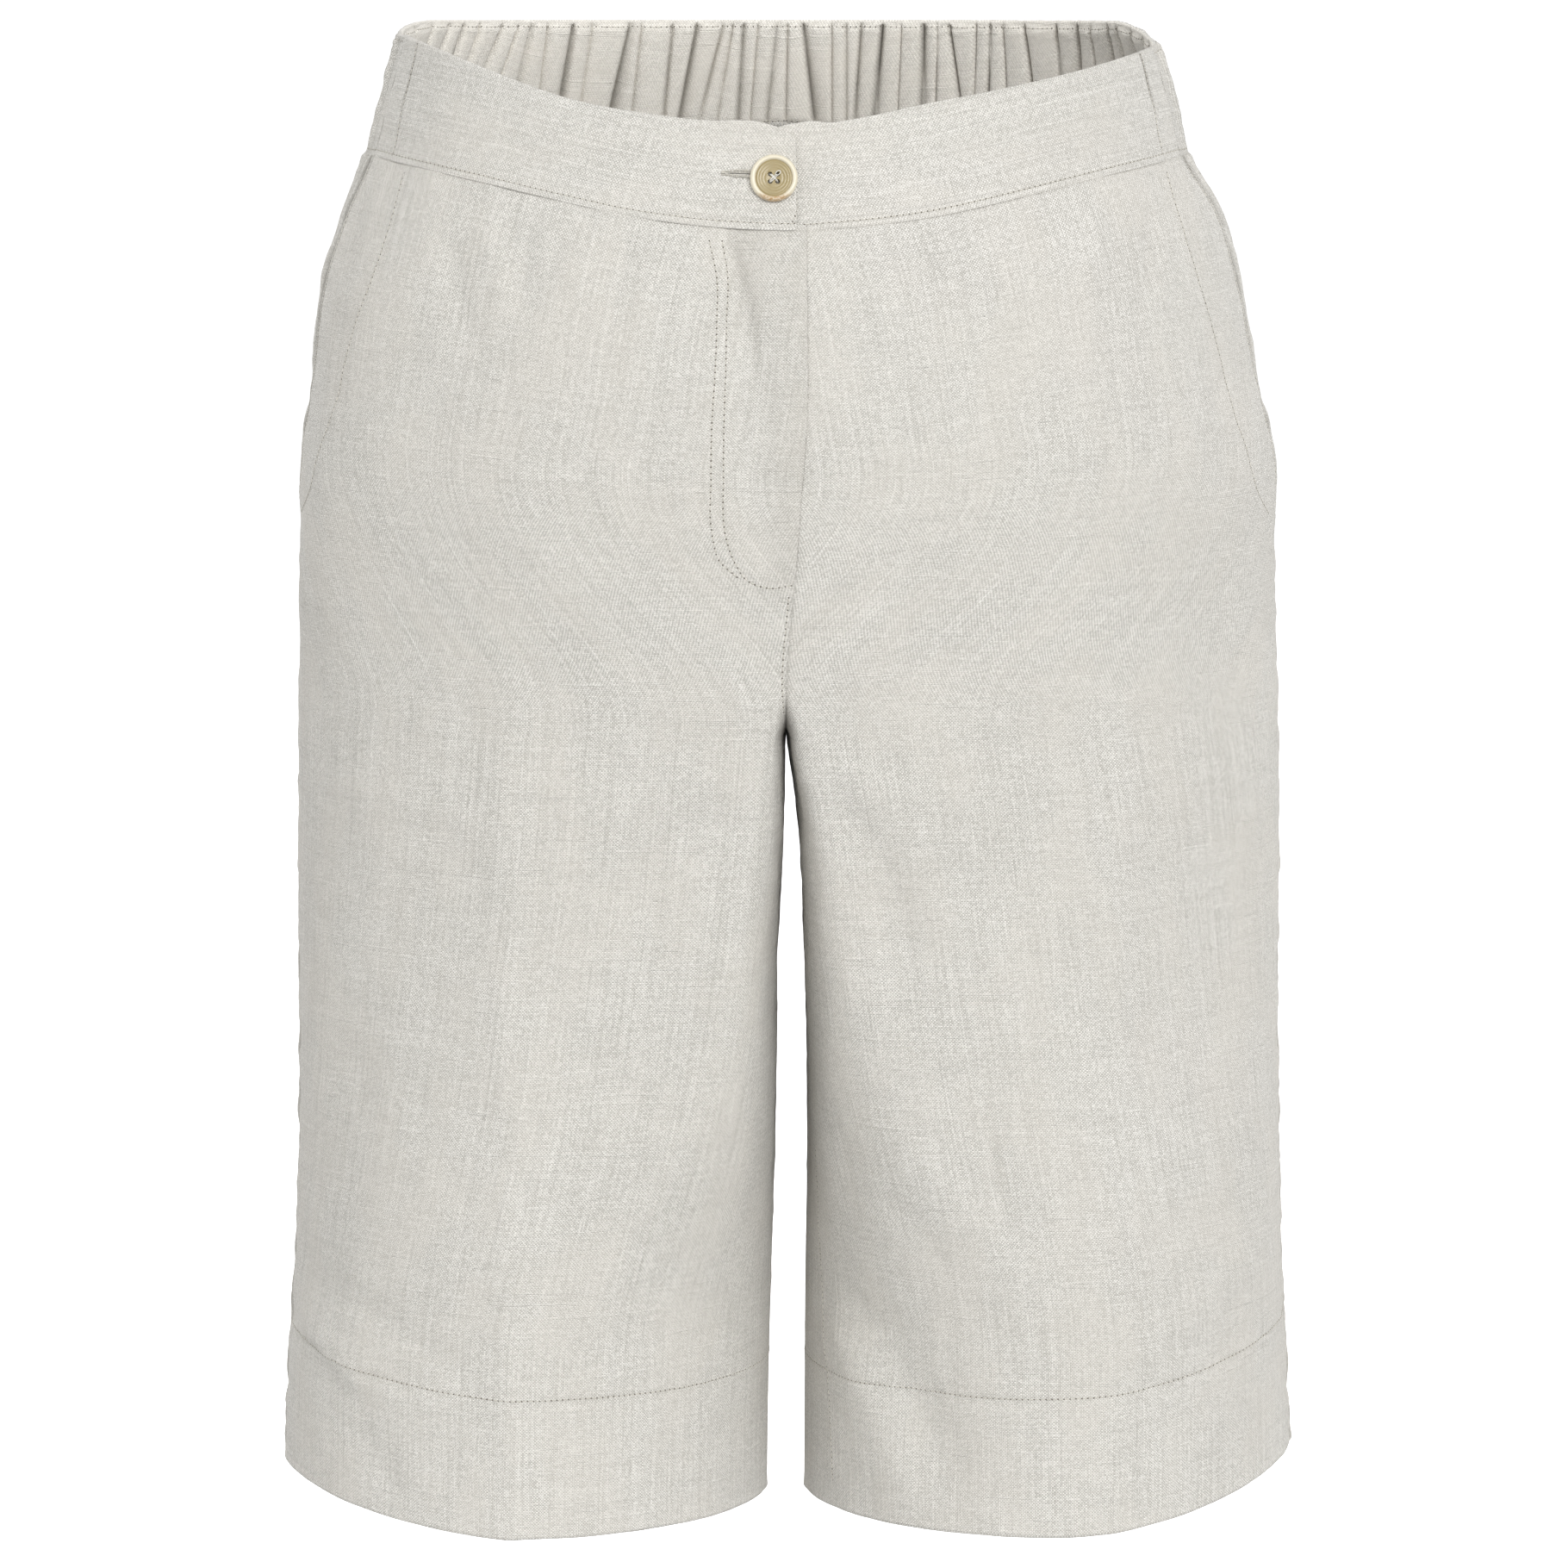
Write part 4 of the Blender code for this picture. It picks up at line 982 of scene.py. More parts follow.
class Panel:
    """One front or back: its grid, what lies where on it, and its shaped points."""

    def __init__(self, side, face):
        self.side = side
        self.face = face
        self.turn = side * face
        self.name = f"{SIDE_NAMES[side]}_{FACE_NAMES[face]}"
        count = FRONT_COLUMNS if face == FRONT else BACK_COLUMNS
        ends = (NEAR_EDGE[-1], 1.0 - NEAR_EDGE[-1])
        middle = np.interp(np.linspace(0.0, 1.0, count), (0.0, *CORNER_PLACES, 1.0),
                           (ends[0], *CORNER_SHARES, ends[1]))[1:-1]
        self.shares = np.concatenate([NEAR_EDGE, middle, 1.0 - NEAR_EDGE[::-1]])
        self.nominals = panel_nominals()
        places = gather_place(self.shares) if face == BACK else self.shares
        base = surface(side, face, panel_level, self.nominals, places)
        mouth = table(MOUTH_COLUMNS, MOUTH_EDGE)
        short = smooth_read(base[:, 0, 2], mouth["level"], mouth["short"])[:, None]
        if face == FRONT:
            longest = row_lengths(base)[:, -1:]
            base = read_rows(base, short + (longest - short) * row_lengths(base) / longest)
            self.from_mouth = row_lengths(base)
        else:
            front = surface(side, FRONT, panel_level, self.nominals, np.linspace(0.0, 0.12, 13))
            under = read_rows(front, np.broadcast_to(np.array(UNDER_FRONT), (len(front), len(UNDER_FRONT))))
            self.shares = np.concatenate([np.array(UNDER_FRONT) * -1e-5, self.shares])
            base = np.concatenate([under, base], axis=1)
            self.from_mouth = row_lengths(base) - UNDER_FRONT[0] + short
        self.base = base
        self.normals = outward(base, self.turn)
        self.from_side = row_lengths(base) - (0.0 if face == FRONT else UNDER_FRONT[0])
        self.from_centre = self.from_side[:, -1:] - self.from_side
        waist_row = int(np.argmin(np.abs(self.nominals - PANEL_TOP)))
        self.level = base[..., 2]
        self.down = -self.level
        self.drop = self.level[waist_row] - self.level
        self.rise = self.level - self.level[-1] + 0.5
        self.out = side * base[..., 0]
        self.rows = np.arange(len(self.nominals))
        self.columns = np.arange(len(self.shares))
        self.mouth = smooth_step(self.level, *MOUTH_FOOT)
        self.fly = smooth_step(self.level, *FLY_FOOT)
        self.painted_shade = self.painted_shade_in_crevices()
        self.points = self.shaped()

    def shaped(self):
        """The panel's outer surface with folds, seams and unevenness."""
        cloth = bpy.context.scene.shorts_cloth
        inside = np.minimum(self.from_side, self.from_centre)
        calm = smooth_step(inside, 0.0, CALM_WITHIN)
        lift = crease_height(self.side, self.face, self.base) * (0.15 + 0.85 * calm)
        if self.face == BACK:
            lift += gather_height(np.broadcast_to(np.maximum(self.shares, 0.0), self.out.shape), self.drop)
        seed = 11 + 3 * self.side + 5 * self.face
        crumple = cloth.crumple / MM
        lift += crumple * ripple(self.from_side, self.down, seed, 90.0, 22.0) * (0.3 + 0.7 * calm)
        lift += 0.45 * crumple * ripple(self.from_side, self.down, seed + 40, 24.0, 8.0)
        lift += self.seam_relief()
        closed = smooth_step(self.down, *CROTCH_CLOSES)
        closed = closed * smooth_fall(self.from_centre, 0.0, CLOSED_WITHIN)
        points = self.base + self.normals * (lift * (1.0 - closed))[..., None]
        over_crotch = closed[:, -1] * (self.level[:, -1] > CROTCH_LEVEL - 0.5)
        points[:, -1, 0] -= self.side * CLOSED_OVERLAP * over_crotch
        return points

    def painted_shade_in_crevices(self):
        """Painted shade: how dark each point is painted in a seam, at the hem's and waist's lines, at a
        pocket's mouth, along the fly's crease and edge, and at the crotch.
        """
        mouth = self.mouth
        painted_shade = 0.12 * bell(self.rise, HEM_LINE, 0.5) + 0.08 * bell(self.drop, 0.0, 0.8)
        if self.face == BACK:
            painted_shade += 0.9 * mouth * smooth_fall(self.from_mouth, 1.5, 7.0)
            painted_shade += 0.4 * (1.0 - mouth) * bell(self.from_mouth, 0.0, 0.9)
            return np.clip(painted_shade, 0.0, DEEPEST_PAINTED_SHADE)
        painted_shade += 0.35 * mouth * bell(self.from_mouth, 2.0, 0.5)
        fly = self.fly
        if self.side == LEFT:
            painted_shade += 0.08 * fly * smooth_fall(self.from_centre, 0.2, 1.8)
        else:
            streak = np.interp(self.down, FLY_CREASE["drop"], FLY_CREASE["out"])
            fade = smooth_step(self.level, -112.0, -60.0) * smooth_step(self.down, 33.0, 43.0)
            painted_shade += 0.2 * fade * bell(self.out, streak, 1.7)
            painted_shade += 0.08 * fly * smooth_step(streak - self.out, -2.0, 3.0)
        painted_shade += 0.15 * (1.0 - fly) * bell(self.from_centre, 0.0, 0.6)
        painted_shade += 0.4 * bell(self.level, CROTCH_LEVEL + 3.0, 8.0) * smooth_fall(self.out, 1.0, 5.0)
        return np.clip(painted_shade, 0.0, DEEPEST_PAINTED_SHADE)

    def seam_relief(self):
        """Steps, grooves and puckers at the panel's edges and lines of stitching."""
        pucker = bpy.context.scene.shorts_cloth.pucker / MM
        lift = -0.35 * smooth_step(-self.drop, -0.9, 0.3) - 0.7 * smooth_step(-self.drop, 0.1, 1.2)
        lift += pucker * ripple(self.from_side, self.down, 71, 9.0, 4.0) * bell(self.drop, 5.0, 7.0)
        lift -= 0.3 * bell(self.rise, HEM_LINE, 0.9)
        lift += 0.12 * smooth_step(self.rise, HEM_DEPTH + 2.0, HEM_DEPTH - 2.0)
        along_hem = ripple(self.from_side, self.down, 72, 12.0, 5.0)
        lift += 1.6 * pucker * along_hem * bell(self.rise, HEM_DEPTH, 6.0)
        lift += 0.2 * bell(self.rise, 0.0, 3.0)
        if self.face == FRONT:
            return lift + self.front_relief(pucker)
        return lift + self.back_relief(pucker)

    def front_relief(self, pucker):
        """The front's gaping mouth, its grooves beside the seams and the fly's lap."""
        mouth = self.mouth
        gape = mouth * (0.5 + 0.6 * bell(self.level, -30.0, 26.0))
        lift = gape * smooth_fall(self.from_mouth, 1.0, 11.0)
        lift -= 0.5 * smooth_fall(self.from_mouth, 0.0, 0.9)
        lift += 0.25 * mouth * bell(self.from_side, 13.0, 3.0) * smooth_step(self.level, -140.0, -110.0)
        lift -= 0.3 * mouth * bell(self.from_mouth, 2.2, 0.8)
        lift -= 0.35 * (1.0 - mouth) * bell(self.from_side, 0.0, 2.2)
        lift += 2.6 * pucker * ripple(self.from_side * 0.3, self.down, 73, 24.0, 6.0) \
            * bell(self.from_side, 0.0, 9.0) * (0.5 + 0.5 * (1.0 - mouth))
        fly = self.fly
        if self.side == RIGHT:
            lift += 0.35 * fly * smooth_fall(self.from_centre, 9.0, 34.0)
            lift -= 0.3 * fly * smooth_fall(self.from_centre, 0.0, 1.4)
        else:
            lift -= 0.3 * fly * smooth_fall(self.from_centre, 0.0, 7.0)
        lift -= 0.45 * (1.0 - fly) * bell(self.from_centre, 0.0, 1.8)
        lift += 1.4 * pucker * ripple(self.from_centre * 0.4, self.down, 74, 12.0, 5.0) \
            * bell(self.from_centre, 0.0, 8.0)
        return lift

    def back_relief(self, pucker):
        """The back's step under the front, and its grooves beside the seams."""
        mouth = self.mouth
        flute = 1.0 + 0.5 * ripple(self.from_side * 0.2, self.down, 77, 46.0, 18.0)
        away = self.from_mouth
        lift = -2.0 * mouth * smooth_fall(away, 1.0, 6.5)
        lift += 0.8 * mouth * flute * bell(away, 9.5, 5.0) * smooth_step(self.down, 8.0, 22.0)
        lift -= 0.55 * (1.0 - mouth) * smooth_fall(away, 0.0, 2.5)
        lift -= 1.2 * (1.0 - mouth) * smooth_fall(away, -2.5, -0.2)
        lift += 3.0 * pucker * ripple(self.from_side * 0.3, self.down, 75, 30.0, 6.0) \
            * bell(self.from_side, 2.0, 11.0)
        lift -= 0.4 * bell(self.from_centre, 0.0, 2.0)
        lift += 1.4 * pucker * ripple(self.from_centre * 0.4, self.down, 76, 12.0, 5.0) \
            * bell(self.from_centre, 0.0, 9.0)
        return lift

    def edge_reach(self):
        """How far the panel runs on under or over its neighbour at the centre."""
        if self.side == RIGHT:
            return OVER_REACH
        return UNDER_REACH if self.face == FRONT else UNDER_REACH[:1]

    def build(self, material):
        """The panel as a sheet, run on under its neighbours at its side edges."""
        at_centre = self.edge_reach()
        points = with_reach(self.points, at_centre)
        normals = outward(points, self.turn)
        away = np.concatenate([np.zeros(len(self.shares)), np.array(at_centre)])
        sink = np.where(away > 0.5, 0.75 + 0.04 * away, 0.5 * away)
        points = points - normals * sink[None, :, None]
        middle = len(self.shares) // 2
        lengths = row_lengths(points)
        grain = np.stack([self.side * (lengths[:, middle:middle + 1] - lengths),
                          -np.broadcast_to(self.nominals[:, None], lengths.shape)], axis=-1)
        painted_shade = np.concatenate([self.painted_shade, np.zeros((len(points), len(at_centre)))], axis=1)
        node = grid_object(f"{self.name}_cloth", points, grain, self.turn, painted_shade=painted_shade)
        thickened(node, bpy.context.scene.shorts_cloth.thickness / MM)
        dress(node, material, "linen", self.name)

    # Lines on the shaped panel, as points and outward normals.

    def at_rise(self, rise):
        """A line at one rise above the hem's edge, from side to centre."""
        columns = np.flatnonzero(self.shares >= 0.0)
        rows = np.array([np.interp(-rise, -self.rise[:, k], self.rows) for k in columns])
        return self.read(np.stack([rows, columns], axis=-1))

    def beside(self, from_level, to_level, distance, centre=False):
        """A line at a distance from the side or centre edge, between two levels."""
        places = []
        for k in self.rows:
            edge = self.level[k, -1 if centre else 0]
            if not to_level <= edge <= from_level:
                continue
            if centre:
                column = np.interp(-distance, -self.from_centre[k], self.columns)
            else:
                column = np.interp(distance, self.from_mouth[k], self.columns)
            places.append((k, column))
        return self.read(np.array(places))

    def drawn(self, line):
        """A smooth line through (x, level) points."""
        line = table(LINE_COLUMNS, line)
        lengths = running(np.hypot(np.diff(line["x"]), np.diff(line["level"])))
        at = np.linspace(0.0, lengths[-1], max(8, int(lengths[-1] / 1.5)))
        xs = smooth_read(at, lengths, line["x"])
        levels = smooth_read(at, lengths, line["level"])
        places = []
        for x, level in zip(xs, levels):
            across = np.array([np.interp(-x, -self.out[k], self.columns) for k in self.rows])
            heights = np.array([np.interp(c, self.columns, self.level[k]) for k, c in enumerate(across)])
            row = np.interp(-level, -heights, self.rows)
            places.append((row, np.interp(row, self.rows, across)))
        return self.read(np.array(places))

    def read(self, places):
        """Points and outward normals at places given as (row, column) with fractions."""
        return read_grid(self.points, outward(self.points, self.turn), places)


def read_grid(points, normals, places):
    rows = np.clip(places[:, 0], 0, points.shape[0] - 1.001)
    columns = np.clip(places[:, 1], 0, points.shape[1] - 1.001)
    i = rows.astype(int)
    j = columns.astype(int)
    f = (rows - i)[:, None]
    g = (columns - j)[:, None]

    def mix(grid):
        upper = grid[i, j] * (1 - g) + grid[i, j + 1] * g
        lower = grid[i + 1, j] * (1 - g) + grid[i + 1, j + 1] * g
        return upper * (1 - f) + lower * f
    return mix(points), unit(mix(normals))


# ---------------------------------------------------------------- hems

HEM_THICKNESS = 0.45
HEM_PROFILE_COLUMNS = ("depth", "rise")
HEM_PROFILE = (
    (0.40, 3.5),
    (0.16, 1.2),
    (0.04, 0.5),
    (0.12, 0.0),
    (0.50, -0.35),
    (1.10, -0.45),
    (1.70, -0.15),
    (2.05, 0.6),
    (2.15, 2.5),
    (2.15, 14.0),
    (2.15, 28.0),
    (2.15, 42.0),
    (2.15, 54.6),
    (2.00, 55.6),
    (1.60, 55.9),
)


def hem_points(panels, depth, rise):
    """One line round a leg at a depth under the cloth and a rise above its edge."""
    lines = []
    for panel in panels:
        points, normals = panel.at_rise(max(rise, 0.5))
        ring_points = points - normals * depth + np.array([0.0, 0.0, min(rise - 0.5, 0.0)])
        lines.append(ring_points if panel.face == FRONT else ring_points[::-1])
    return np.concatenate([lines[0][:-1], lines[1][1:]])


def build_hem(side, panels, material):
    """A deep hem: the cloth folds under at the leg's edge and runs up inside."""
    profile = table(HEM_PROFILE_COLUMNS, HEM_PROFILE)
    points = np.stack([hem_points(panels, *at) for at in zip(profile["depth"], profile["rise"])])
    points = np.concatenate([points, points[:, :1]], axis=1)
    name = f"{SIDE_NAMES[side]}_hem"
    node = grid_object(f"{name}_cloth", points, grain_of(points), side * FRONT)
    thickened(node, HEM_THICKNESS)
    dress(node, material, "linen", name)


# ---------------------------------------------------------------- waistbands

SLIT_SHARE = 0.505
SLIT_LIPS = np.array([-0.045, -0.028, -0.016, -0.009, -0.0035, 0.0035, 0.009, 0.016, 0.028, 0.045])
BAND_HEIGHTS = np.concatenate([[0.0, 0.003, 0.009, 0.02], np.linspace(0.04, 0.435, 16),
                               SLIT_SHARE + SLIT_LIPS, np.linspace(0.575, 0.94, 15),
                               [0.955, 0.97, 0.98, 0.991, 0.997, 1.0]])
SLIT_ROW = int(np.searchsorted(BAND_HEIGHTS, SLIT_SHARE)) - 1
SEAM_ROLL = 0.2
TOP_ROUNDING = 0.9
SEAM_ROUNDING = 0.45
CORNER_ACROSS = 9.0
CORNER_DOWN = 7.5
BAND_OVER_SEAM = 0.45
ELASTIC_END = (16.4, 19.2)
BESIDE_VALLEY = np.array([0.0, 0.22, 0.5, 0.85, 1.3, 1.9, 2.7])
BETWEEN_VALLEYS = 2.0
BACK_SAMPLES = 400
BAND_STITCH = 2.6
BAND_STITCH_ENDS = {RIGHT: 0.985, LEFT: 0.86}
BACK_SEAM_STITCH = 2.4
END_STITCH = 3.2
# Short waves near the right band's end: where each is, in x, and how high.
OVERLAP_WAVES = ((-1.0, 0.15), (-4.5, -0.3), (-8.0, 0.3), (-11.5, -0.2))


def rounded(distance, radius):
    """0 at an edge, rising to 1 at the radius, like a quarter circle."""
    near = np.clip(distance / radius, 0.0, 1.0)
    return np.sqrt(1.0 - (1.0 - near) ** 2)


class Band:
    """A waistband's grid: rows from the seam up to the top edge, columns along it."""

    def __init__(self, base, turn):
        self.base = base
        self.normals = outward(base, turn)
        self.turn = turn
        self.along = row_lengths(base)
        self.columns = np.arange(base.shape[1])
        self.share = np.broadcast_to(BAND_HEIGHTS[:, None], self.along.shape)
        self.height = np.linalg.norm(base[-1] - base[0], axis=-1)[None] + 0.0 * self.along
        self.up = self.share * self.height
        self.outer = None
        self.inner = None
        self.painted_shade = np.zeros(self.along.shape)
        self.inner_painted_shade = np.zeros(self.along.shape)

    def shape(self, outer, inner, ends=None):
        """Set both faces by how far they lie out of the frame's surface."""
        top = rounded(self.height - self.up, TOP_ROUNDING)
        if ends is not None:
            top = top * rounded(ends, TOP_ROUNDING)
        seam = rounded(self.up, SEAM_ROUNDING)
        middle = (outer + inner) / 2
        outer = middle + (outer - middle) * top - SEAM_ROLL * (1.0 - seam)
        inner = middle + (inner - middle) * top + SEAM_ROLL * (1.0 - seam)
        self.outer = self.base + self.normals * outer[..., None]
        self.inner = self.base + self.normals * inner[..., None]

    def build(self, name, slit=None):
        """The band as one closed body, from its outer face over the top to its inner face."""
        points = np.concatenate([self.outer, self.inner[::-1]])
        length_along = np.concatenate([self.along, self.along[::-1]])
        up = np.concatenate([self.up, (2 * self.height - self.up)[::-1]])
        grain = np.stack([up, length_along], axis=-1)
        painted_shade = np.concatenate([self.painted_shade, self.inner_painted_shade[::-1]])
        return grid_object(name, points, grain, self.turn, around=True, slit=slit, painted_shade=painted_shade)

    def read(self, places, face="outer"):
        grid = getattr(self, face)
        sign = self.turn if face == "outer" else -self.turn
        return read_grid(grid, outward(grid, sign), places)

    def at_height(self, distance, from_top=False, high=1.0, face="outer"):
        """A line at a distance from the lower seam or the top edge, along the band."""
        rows = np.arange(len(BAND_HEIGHTS))
        at = self.height[0] - distance if from_top else np.full(len(self.columns), distance)
        places = np.array([(np.interp(at[k], self.up[:, k], rows), k) for k in self.columns], dtype=float)
        return self.read(places[self.columns <= high * self.columns[-1]], face)

    def upright(self, top, bottom, low, high):
        """A line from a length at the lower seam to one at the top edge."""
        places = []
        for k, share in enumerate(BAND_HEIGHTS):
            if low <= share <= high:
                at = bottom + (top - bottom) * share
                places.append((k, np.interp(at, self.along[k], self.columns)))
        return self.read(np.array(places))


def round_corner(base):
    """Round the top corner of the right band's end off."""
    rounded_base = base.copy()
    for k in range(base.shape[1]):
        into = np.clip((base[0, k, 0] - (BAND_END - CORNER_ACROSS)) / CORNER_ACROSS, 0.0, 1.0)
        if into == 0.0:
            continue
        tall = base[-1, k, 2] - base[0, k, 2]
        keep = 1.0 - CORNER_DOWN * (1.0 - math.sqrt(1.0 - (0.999 * into) ** 2)) / tall
        rounded_base[:, k] = along_line(BAND_HEIGHTS * keep, BAND_HEIGHTS, base[:, k])
    return rounded_base


def over_side_seam(base, last=False):
    """Run a band's end on by a little, so that no gap is left at the side seam."""
    if last:
        base = base.copy()
        base[:, -1] += unit(base[:, -1] - base[:, -3]) * BAND_OVER_SEAM
        return base
    return over_side_seam(base[:, ::-1], True)[:, ::-1]


def front_band(side):
    """The plain front waistband of one side, as worn: the right one over the left one."""
    cloth = bpy.context.scene.shorts_cloth
    thick = cloth.band_thickness / MM
    end = BAND_END if side == RIGHT else UNDERLAP_END
    shares = np.concatenate([[0.0, 0.002, 0.006, 0.012], np.linspace(0.02, 0.09, 10),
                             np.linspace(0.095, 0.125, 24), np.linspace(0.131, 0.98, 130),
                             [0.988, 0.992, 0.996, 0.998, 0.9992, 1.0]])
    base = over_side_seam(surface(side, FRONT, band_level, BAND_HEIGHTS, shares, end))
    if side == RIGHT:
        base = round_corner(base)
    else:
        shown = smooth_step(base[..., 0], -6.0, 1.0) * smooth_fall(base[..., 0], 8.0, 18.0)
        tucked = smooth_fall(base[..., 0], -9.0, -3.0)
        base[..., 2] += (2.0 * shown - 0.8 * tucked) * BAND_HEIGHTS[:, None] ** 2
    band = Band(base, -side)
    x = base[..., 0]
    seed = 90 + side
    uneven = 0.16 * ripple(band.along, band.up, seed, 60.0, 14.0, lean=3.0)
    uneven += 0.10 * ripple(band.along, band.up, seed + 5, 22.0, 7.0, lean=4.0)
    uneven = uneven * smooth_step(np.minimum(band.up, band.height - band.up), 0.0, 6.0)
    outer = uneven - 0.22 * bell(band.up, BAND_STITCH, 0.8) + 0.10 * bell(band.up, 1.0, 1.0)
    from_line = band.along - ELASTIC_END[1] - (ELASTIC_END[0] - ELASTIC_END[1]) * band.share
    outer -= 0.35 * bell(from_line, 0.0, 0.8)
    # Painted shade along the elastic end's line of stitching.
    band.painted_shade = (0.2 + 0.6 * smooth_step(band.share, 0.35, 0.7)) * bell(from_line, 0.0, 0.55)
    if side == RIGHT:
        outer += 0.45 * smooth_step(x, -34.0, -14.0)
        for at, height in OVERLAP_WAVES:
            outer += height * bell(x + 0.8 * base[..., 2], at, 1.9) * smooth_step(base[..., 2], -12.0, -3.0)
        outer -= 0.35 * bell(np.hypot(x - BUTTON_X, base[..., 2] - BUTTON_LEVEL), 0.0, 8.0)
    else:
        outer -= 1.45 * smooth_fall(x, BAND_END + 1.5, BAND_END + 16.0)
    ends = band.along[:, -1:] - band.along
    band.shape(outer, outer - thick, ends)
    return band


def pleat_columns(along):
    """Where the back band's columns lie in each row, so that they follow its valleys."""
    lean = BAND_HEIGHTS[:, None]
    lines = VALLEY["bottom"] + (VALLEY["top"] - VALLEY["bottom"]) * lean
    lines = np.concatenate([along[:, :1], lines, along[:, -1:]], axis=1)
    columns = []
    for k in range(lines.shape[1] - 1):
        gap = lines[:, k + 1] - lines[:, k]
        wide = float(gap.mean())
        near = BESIDE_VALLEY[BESIDE_VALLEY < 0.46 * wide] / wide
        between = int((1.0 - 2 * near[-1]) * wide / BETWEEN_VALLEYS)
        rest = np.linspace(near[-1], 1.0 - near[-1], 2 + between)[1:-1]
        shares = np.concatenate([near, rest, 1.0 - near[:0:-1]])
        columns.append(lines[:, k:k + 1] + gap[:, None] * shares)
    return np.concatenate(columns + [lines[:, -1:]], axis=1)


def back_band():
    """The gathered elastic waistband, from one side seam round the back to the other."""
    halves = []
    phases = np.linspace(0.0, 1.0, BACK_SAMPLES)
    for side in SIDES:
        base = surface(side, BACK, band_level, BAND_HEIGHTS, gather_place(phases))
        halves.append(base if side == RIGHT else base[:, ::-1])
    base = np.concatenate([halves[0][:, :-1], halves[1][:, 1:]], axis=1)
    lengths = row_lengths(base)
    centre = lengths[:, len(phases) - 1:len(phases)]
    along = pleat_columns(lengths - centre)
    both = np.concatenate([phases[:-1], phases[::-1][1:]])
    both = np.stack([np.interp(row + middle, line, both)
                     for row, middle, line in zip(along, centre, lengths)])
    band = Band(read_rows(base, along + centre), -1)
    number_of = np.floor(both * GATHERS_PER_HALF)
    wave = np.sin(2 * math.pi * GATHERS_PER_HALF * both + 0.4 * np.sin(9.0 * both * math.pi))
    uneven = 1.0 + 0.45 * np.sin(2.4 * number_of)
    from_top = band.height - band.up
    calm_top = smooth_step(from_top, 1.0, 3.4)
    calm_seam = 0.45 + 0.55 * smooth_step(band.up, 0.0, 7.0)
    from_end = np.minimum(band.along, band.along[:, -1:] - band.along)
    side_calm = smooth_step(from_end, 3.0, 12.0)
    puckers = ripple(along, band.up, 51, 3.4, 2.0, waves=12) * bell(from_top, 4.0, 3.0)
    frill = ripple(along, 0.2 * band.up, 52, 3.2, 2.1, waves=10) * smooth_fall(from_top, 1.2, 2.6)
    row = bell(from_top, BAND_STITCH, 0.7)
    outer = 1.1 * wave * uneven * calm_top * calm_seam + 0.25 * ripple(along, band.up, 53, 20.0, 6.0)
    outer = outer * side_calm + (0.25 * puckers + 0.15 * frill) * side_calm - 0.25 * row
    relief, valleys = valley_relief(along, band.share)
    inner = -relief * (0.1 + 0.9 * calm_top) * smooth_step(band.up, 0.4, 4.0)
    # Painted shade in the valleys between the gathers on the inside.
    band.inner_painted_shade = 0.24 * valleys ** 1.5 * smooth_step(from_top, 0.6, 3.0)
    inner = inner * side_calm + (0.25 * puckers + 0.15 * frill) * side_calm + 0.25 * row
    thick = bpy.context.scene.shorts_cloth.band_thickness / MM
    inner = np.minimum(inner - thick, outer - 0.5)
    band.shape(outer, inner)
    return band


# ---------------------------------------------------------------- stitching

def even_places(points, normals, pitch):
    """Points and normals at an even pitch along a line."""
    lengths = line_lengths(points)
    count = max(2, int(round(lengths[-1] / pitch)) + 1)
    at = np.linspace(0.0, lengths[-1], count)
    return along_line(at, lengths, points), unit(along_line(at, lengths, normals))


STITCH_SIDES = 6
# The dark dots of painted shade that stand for the needle holes.
HOLE_SIDES = 6
HOLE_RADIUS = 0.36
HOLE_TOP = 0.16
HOLE_DEPTH = 0.25
STITCH_RINGS = ((0.0, -0.9, 0.45), (0.16, 0.35, 1.0), (0.5, 0.75, 1.0), (0.84, 0.35, 1.0), (1.0, -0.9, 0.45))


def stitches(lines, rng):
    """Vertices and faces of stitches along lines of (points, normals), in millimetres."""
    sizes = bpy.context.scene.shorts_stitches
    pitch = (sizes.stitch + sizes.gap) / MM
    share = sizes.stitch / (sizes.stitch + sizes.gap)
    radius = sizes.radius / MM
    verts = []
    faces = []
    holes = []
    circle = np.linspace(0.0, 2 * math.pi, STITCH_SIDES, endpoint=False)
    for points, normals in lines:
        place, out = even_places(points, normals, pitch)
        holes.append((place, out))
        for k in range(len(place) - 1):
            start = place[k] + (place[k + 1] - place[k]) * (1.0 - share) / 2
            finish = place[k + 1] - (place[k + 1] - place[k]) * (1.0 - share) / 2
            up = unit(out[k] + out[k + 1])
            along = unit(finish - start)
            across = np.cross(up, along)
            slant = across * radius * 0.9 * (rng.random() - 0.5)
            fat = radius * (0.9 + 0.25 * rng.random())
            first = len(verts)
            for at, lift, wide in STITCH_RINGS:
                centre = start + (finish - start) * at + up * lift * fat + slant * (at - 0.5)
                for turn in circle:
                    verts.append(centre + (across * math.cos(turn) + up * math.sin(turn)) * fat * wide)
            for ring_number in range(len(STITCH_RINGS) - 1):
                for side in range(STITCH_SIDES):
                    a = first + ring_number * STITCH_SIDES + side
                    b = first + ring_number * STITCH_SIDES + (side + 1) % STITCH_SIDES
                    faces.append((a, b, b + STITCH_SIDES, a + STITCH_SIDES))
            last = first + (len(STITCH_RINGS) - 1) * STITCH_SIDES
            faces.append(tuple(first + k for k in range(STITCH_SIDES))[::-1])
            faces.append(tuple(last + k for k in range(STITCH_SIDES)))
    return verts, faces, holes


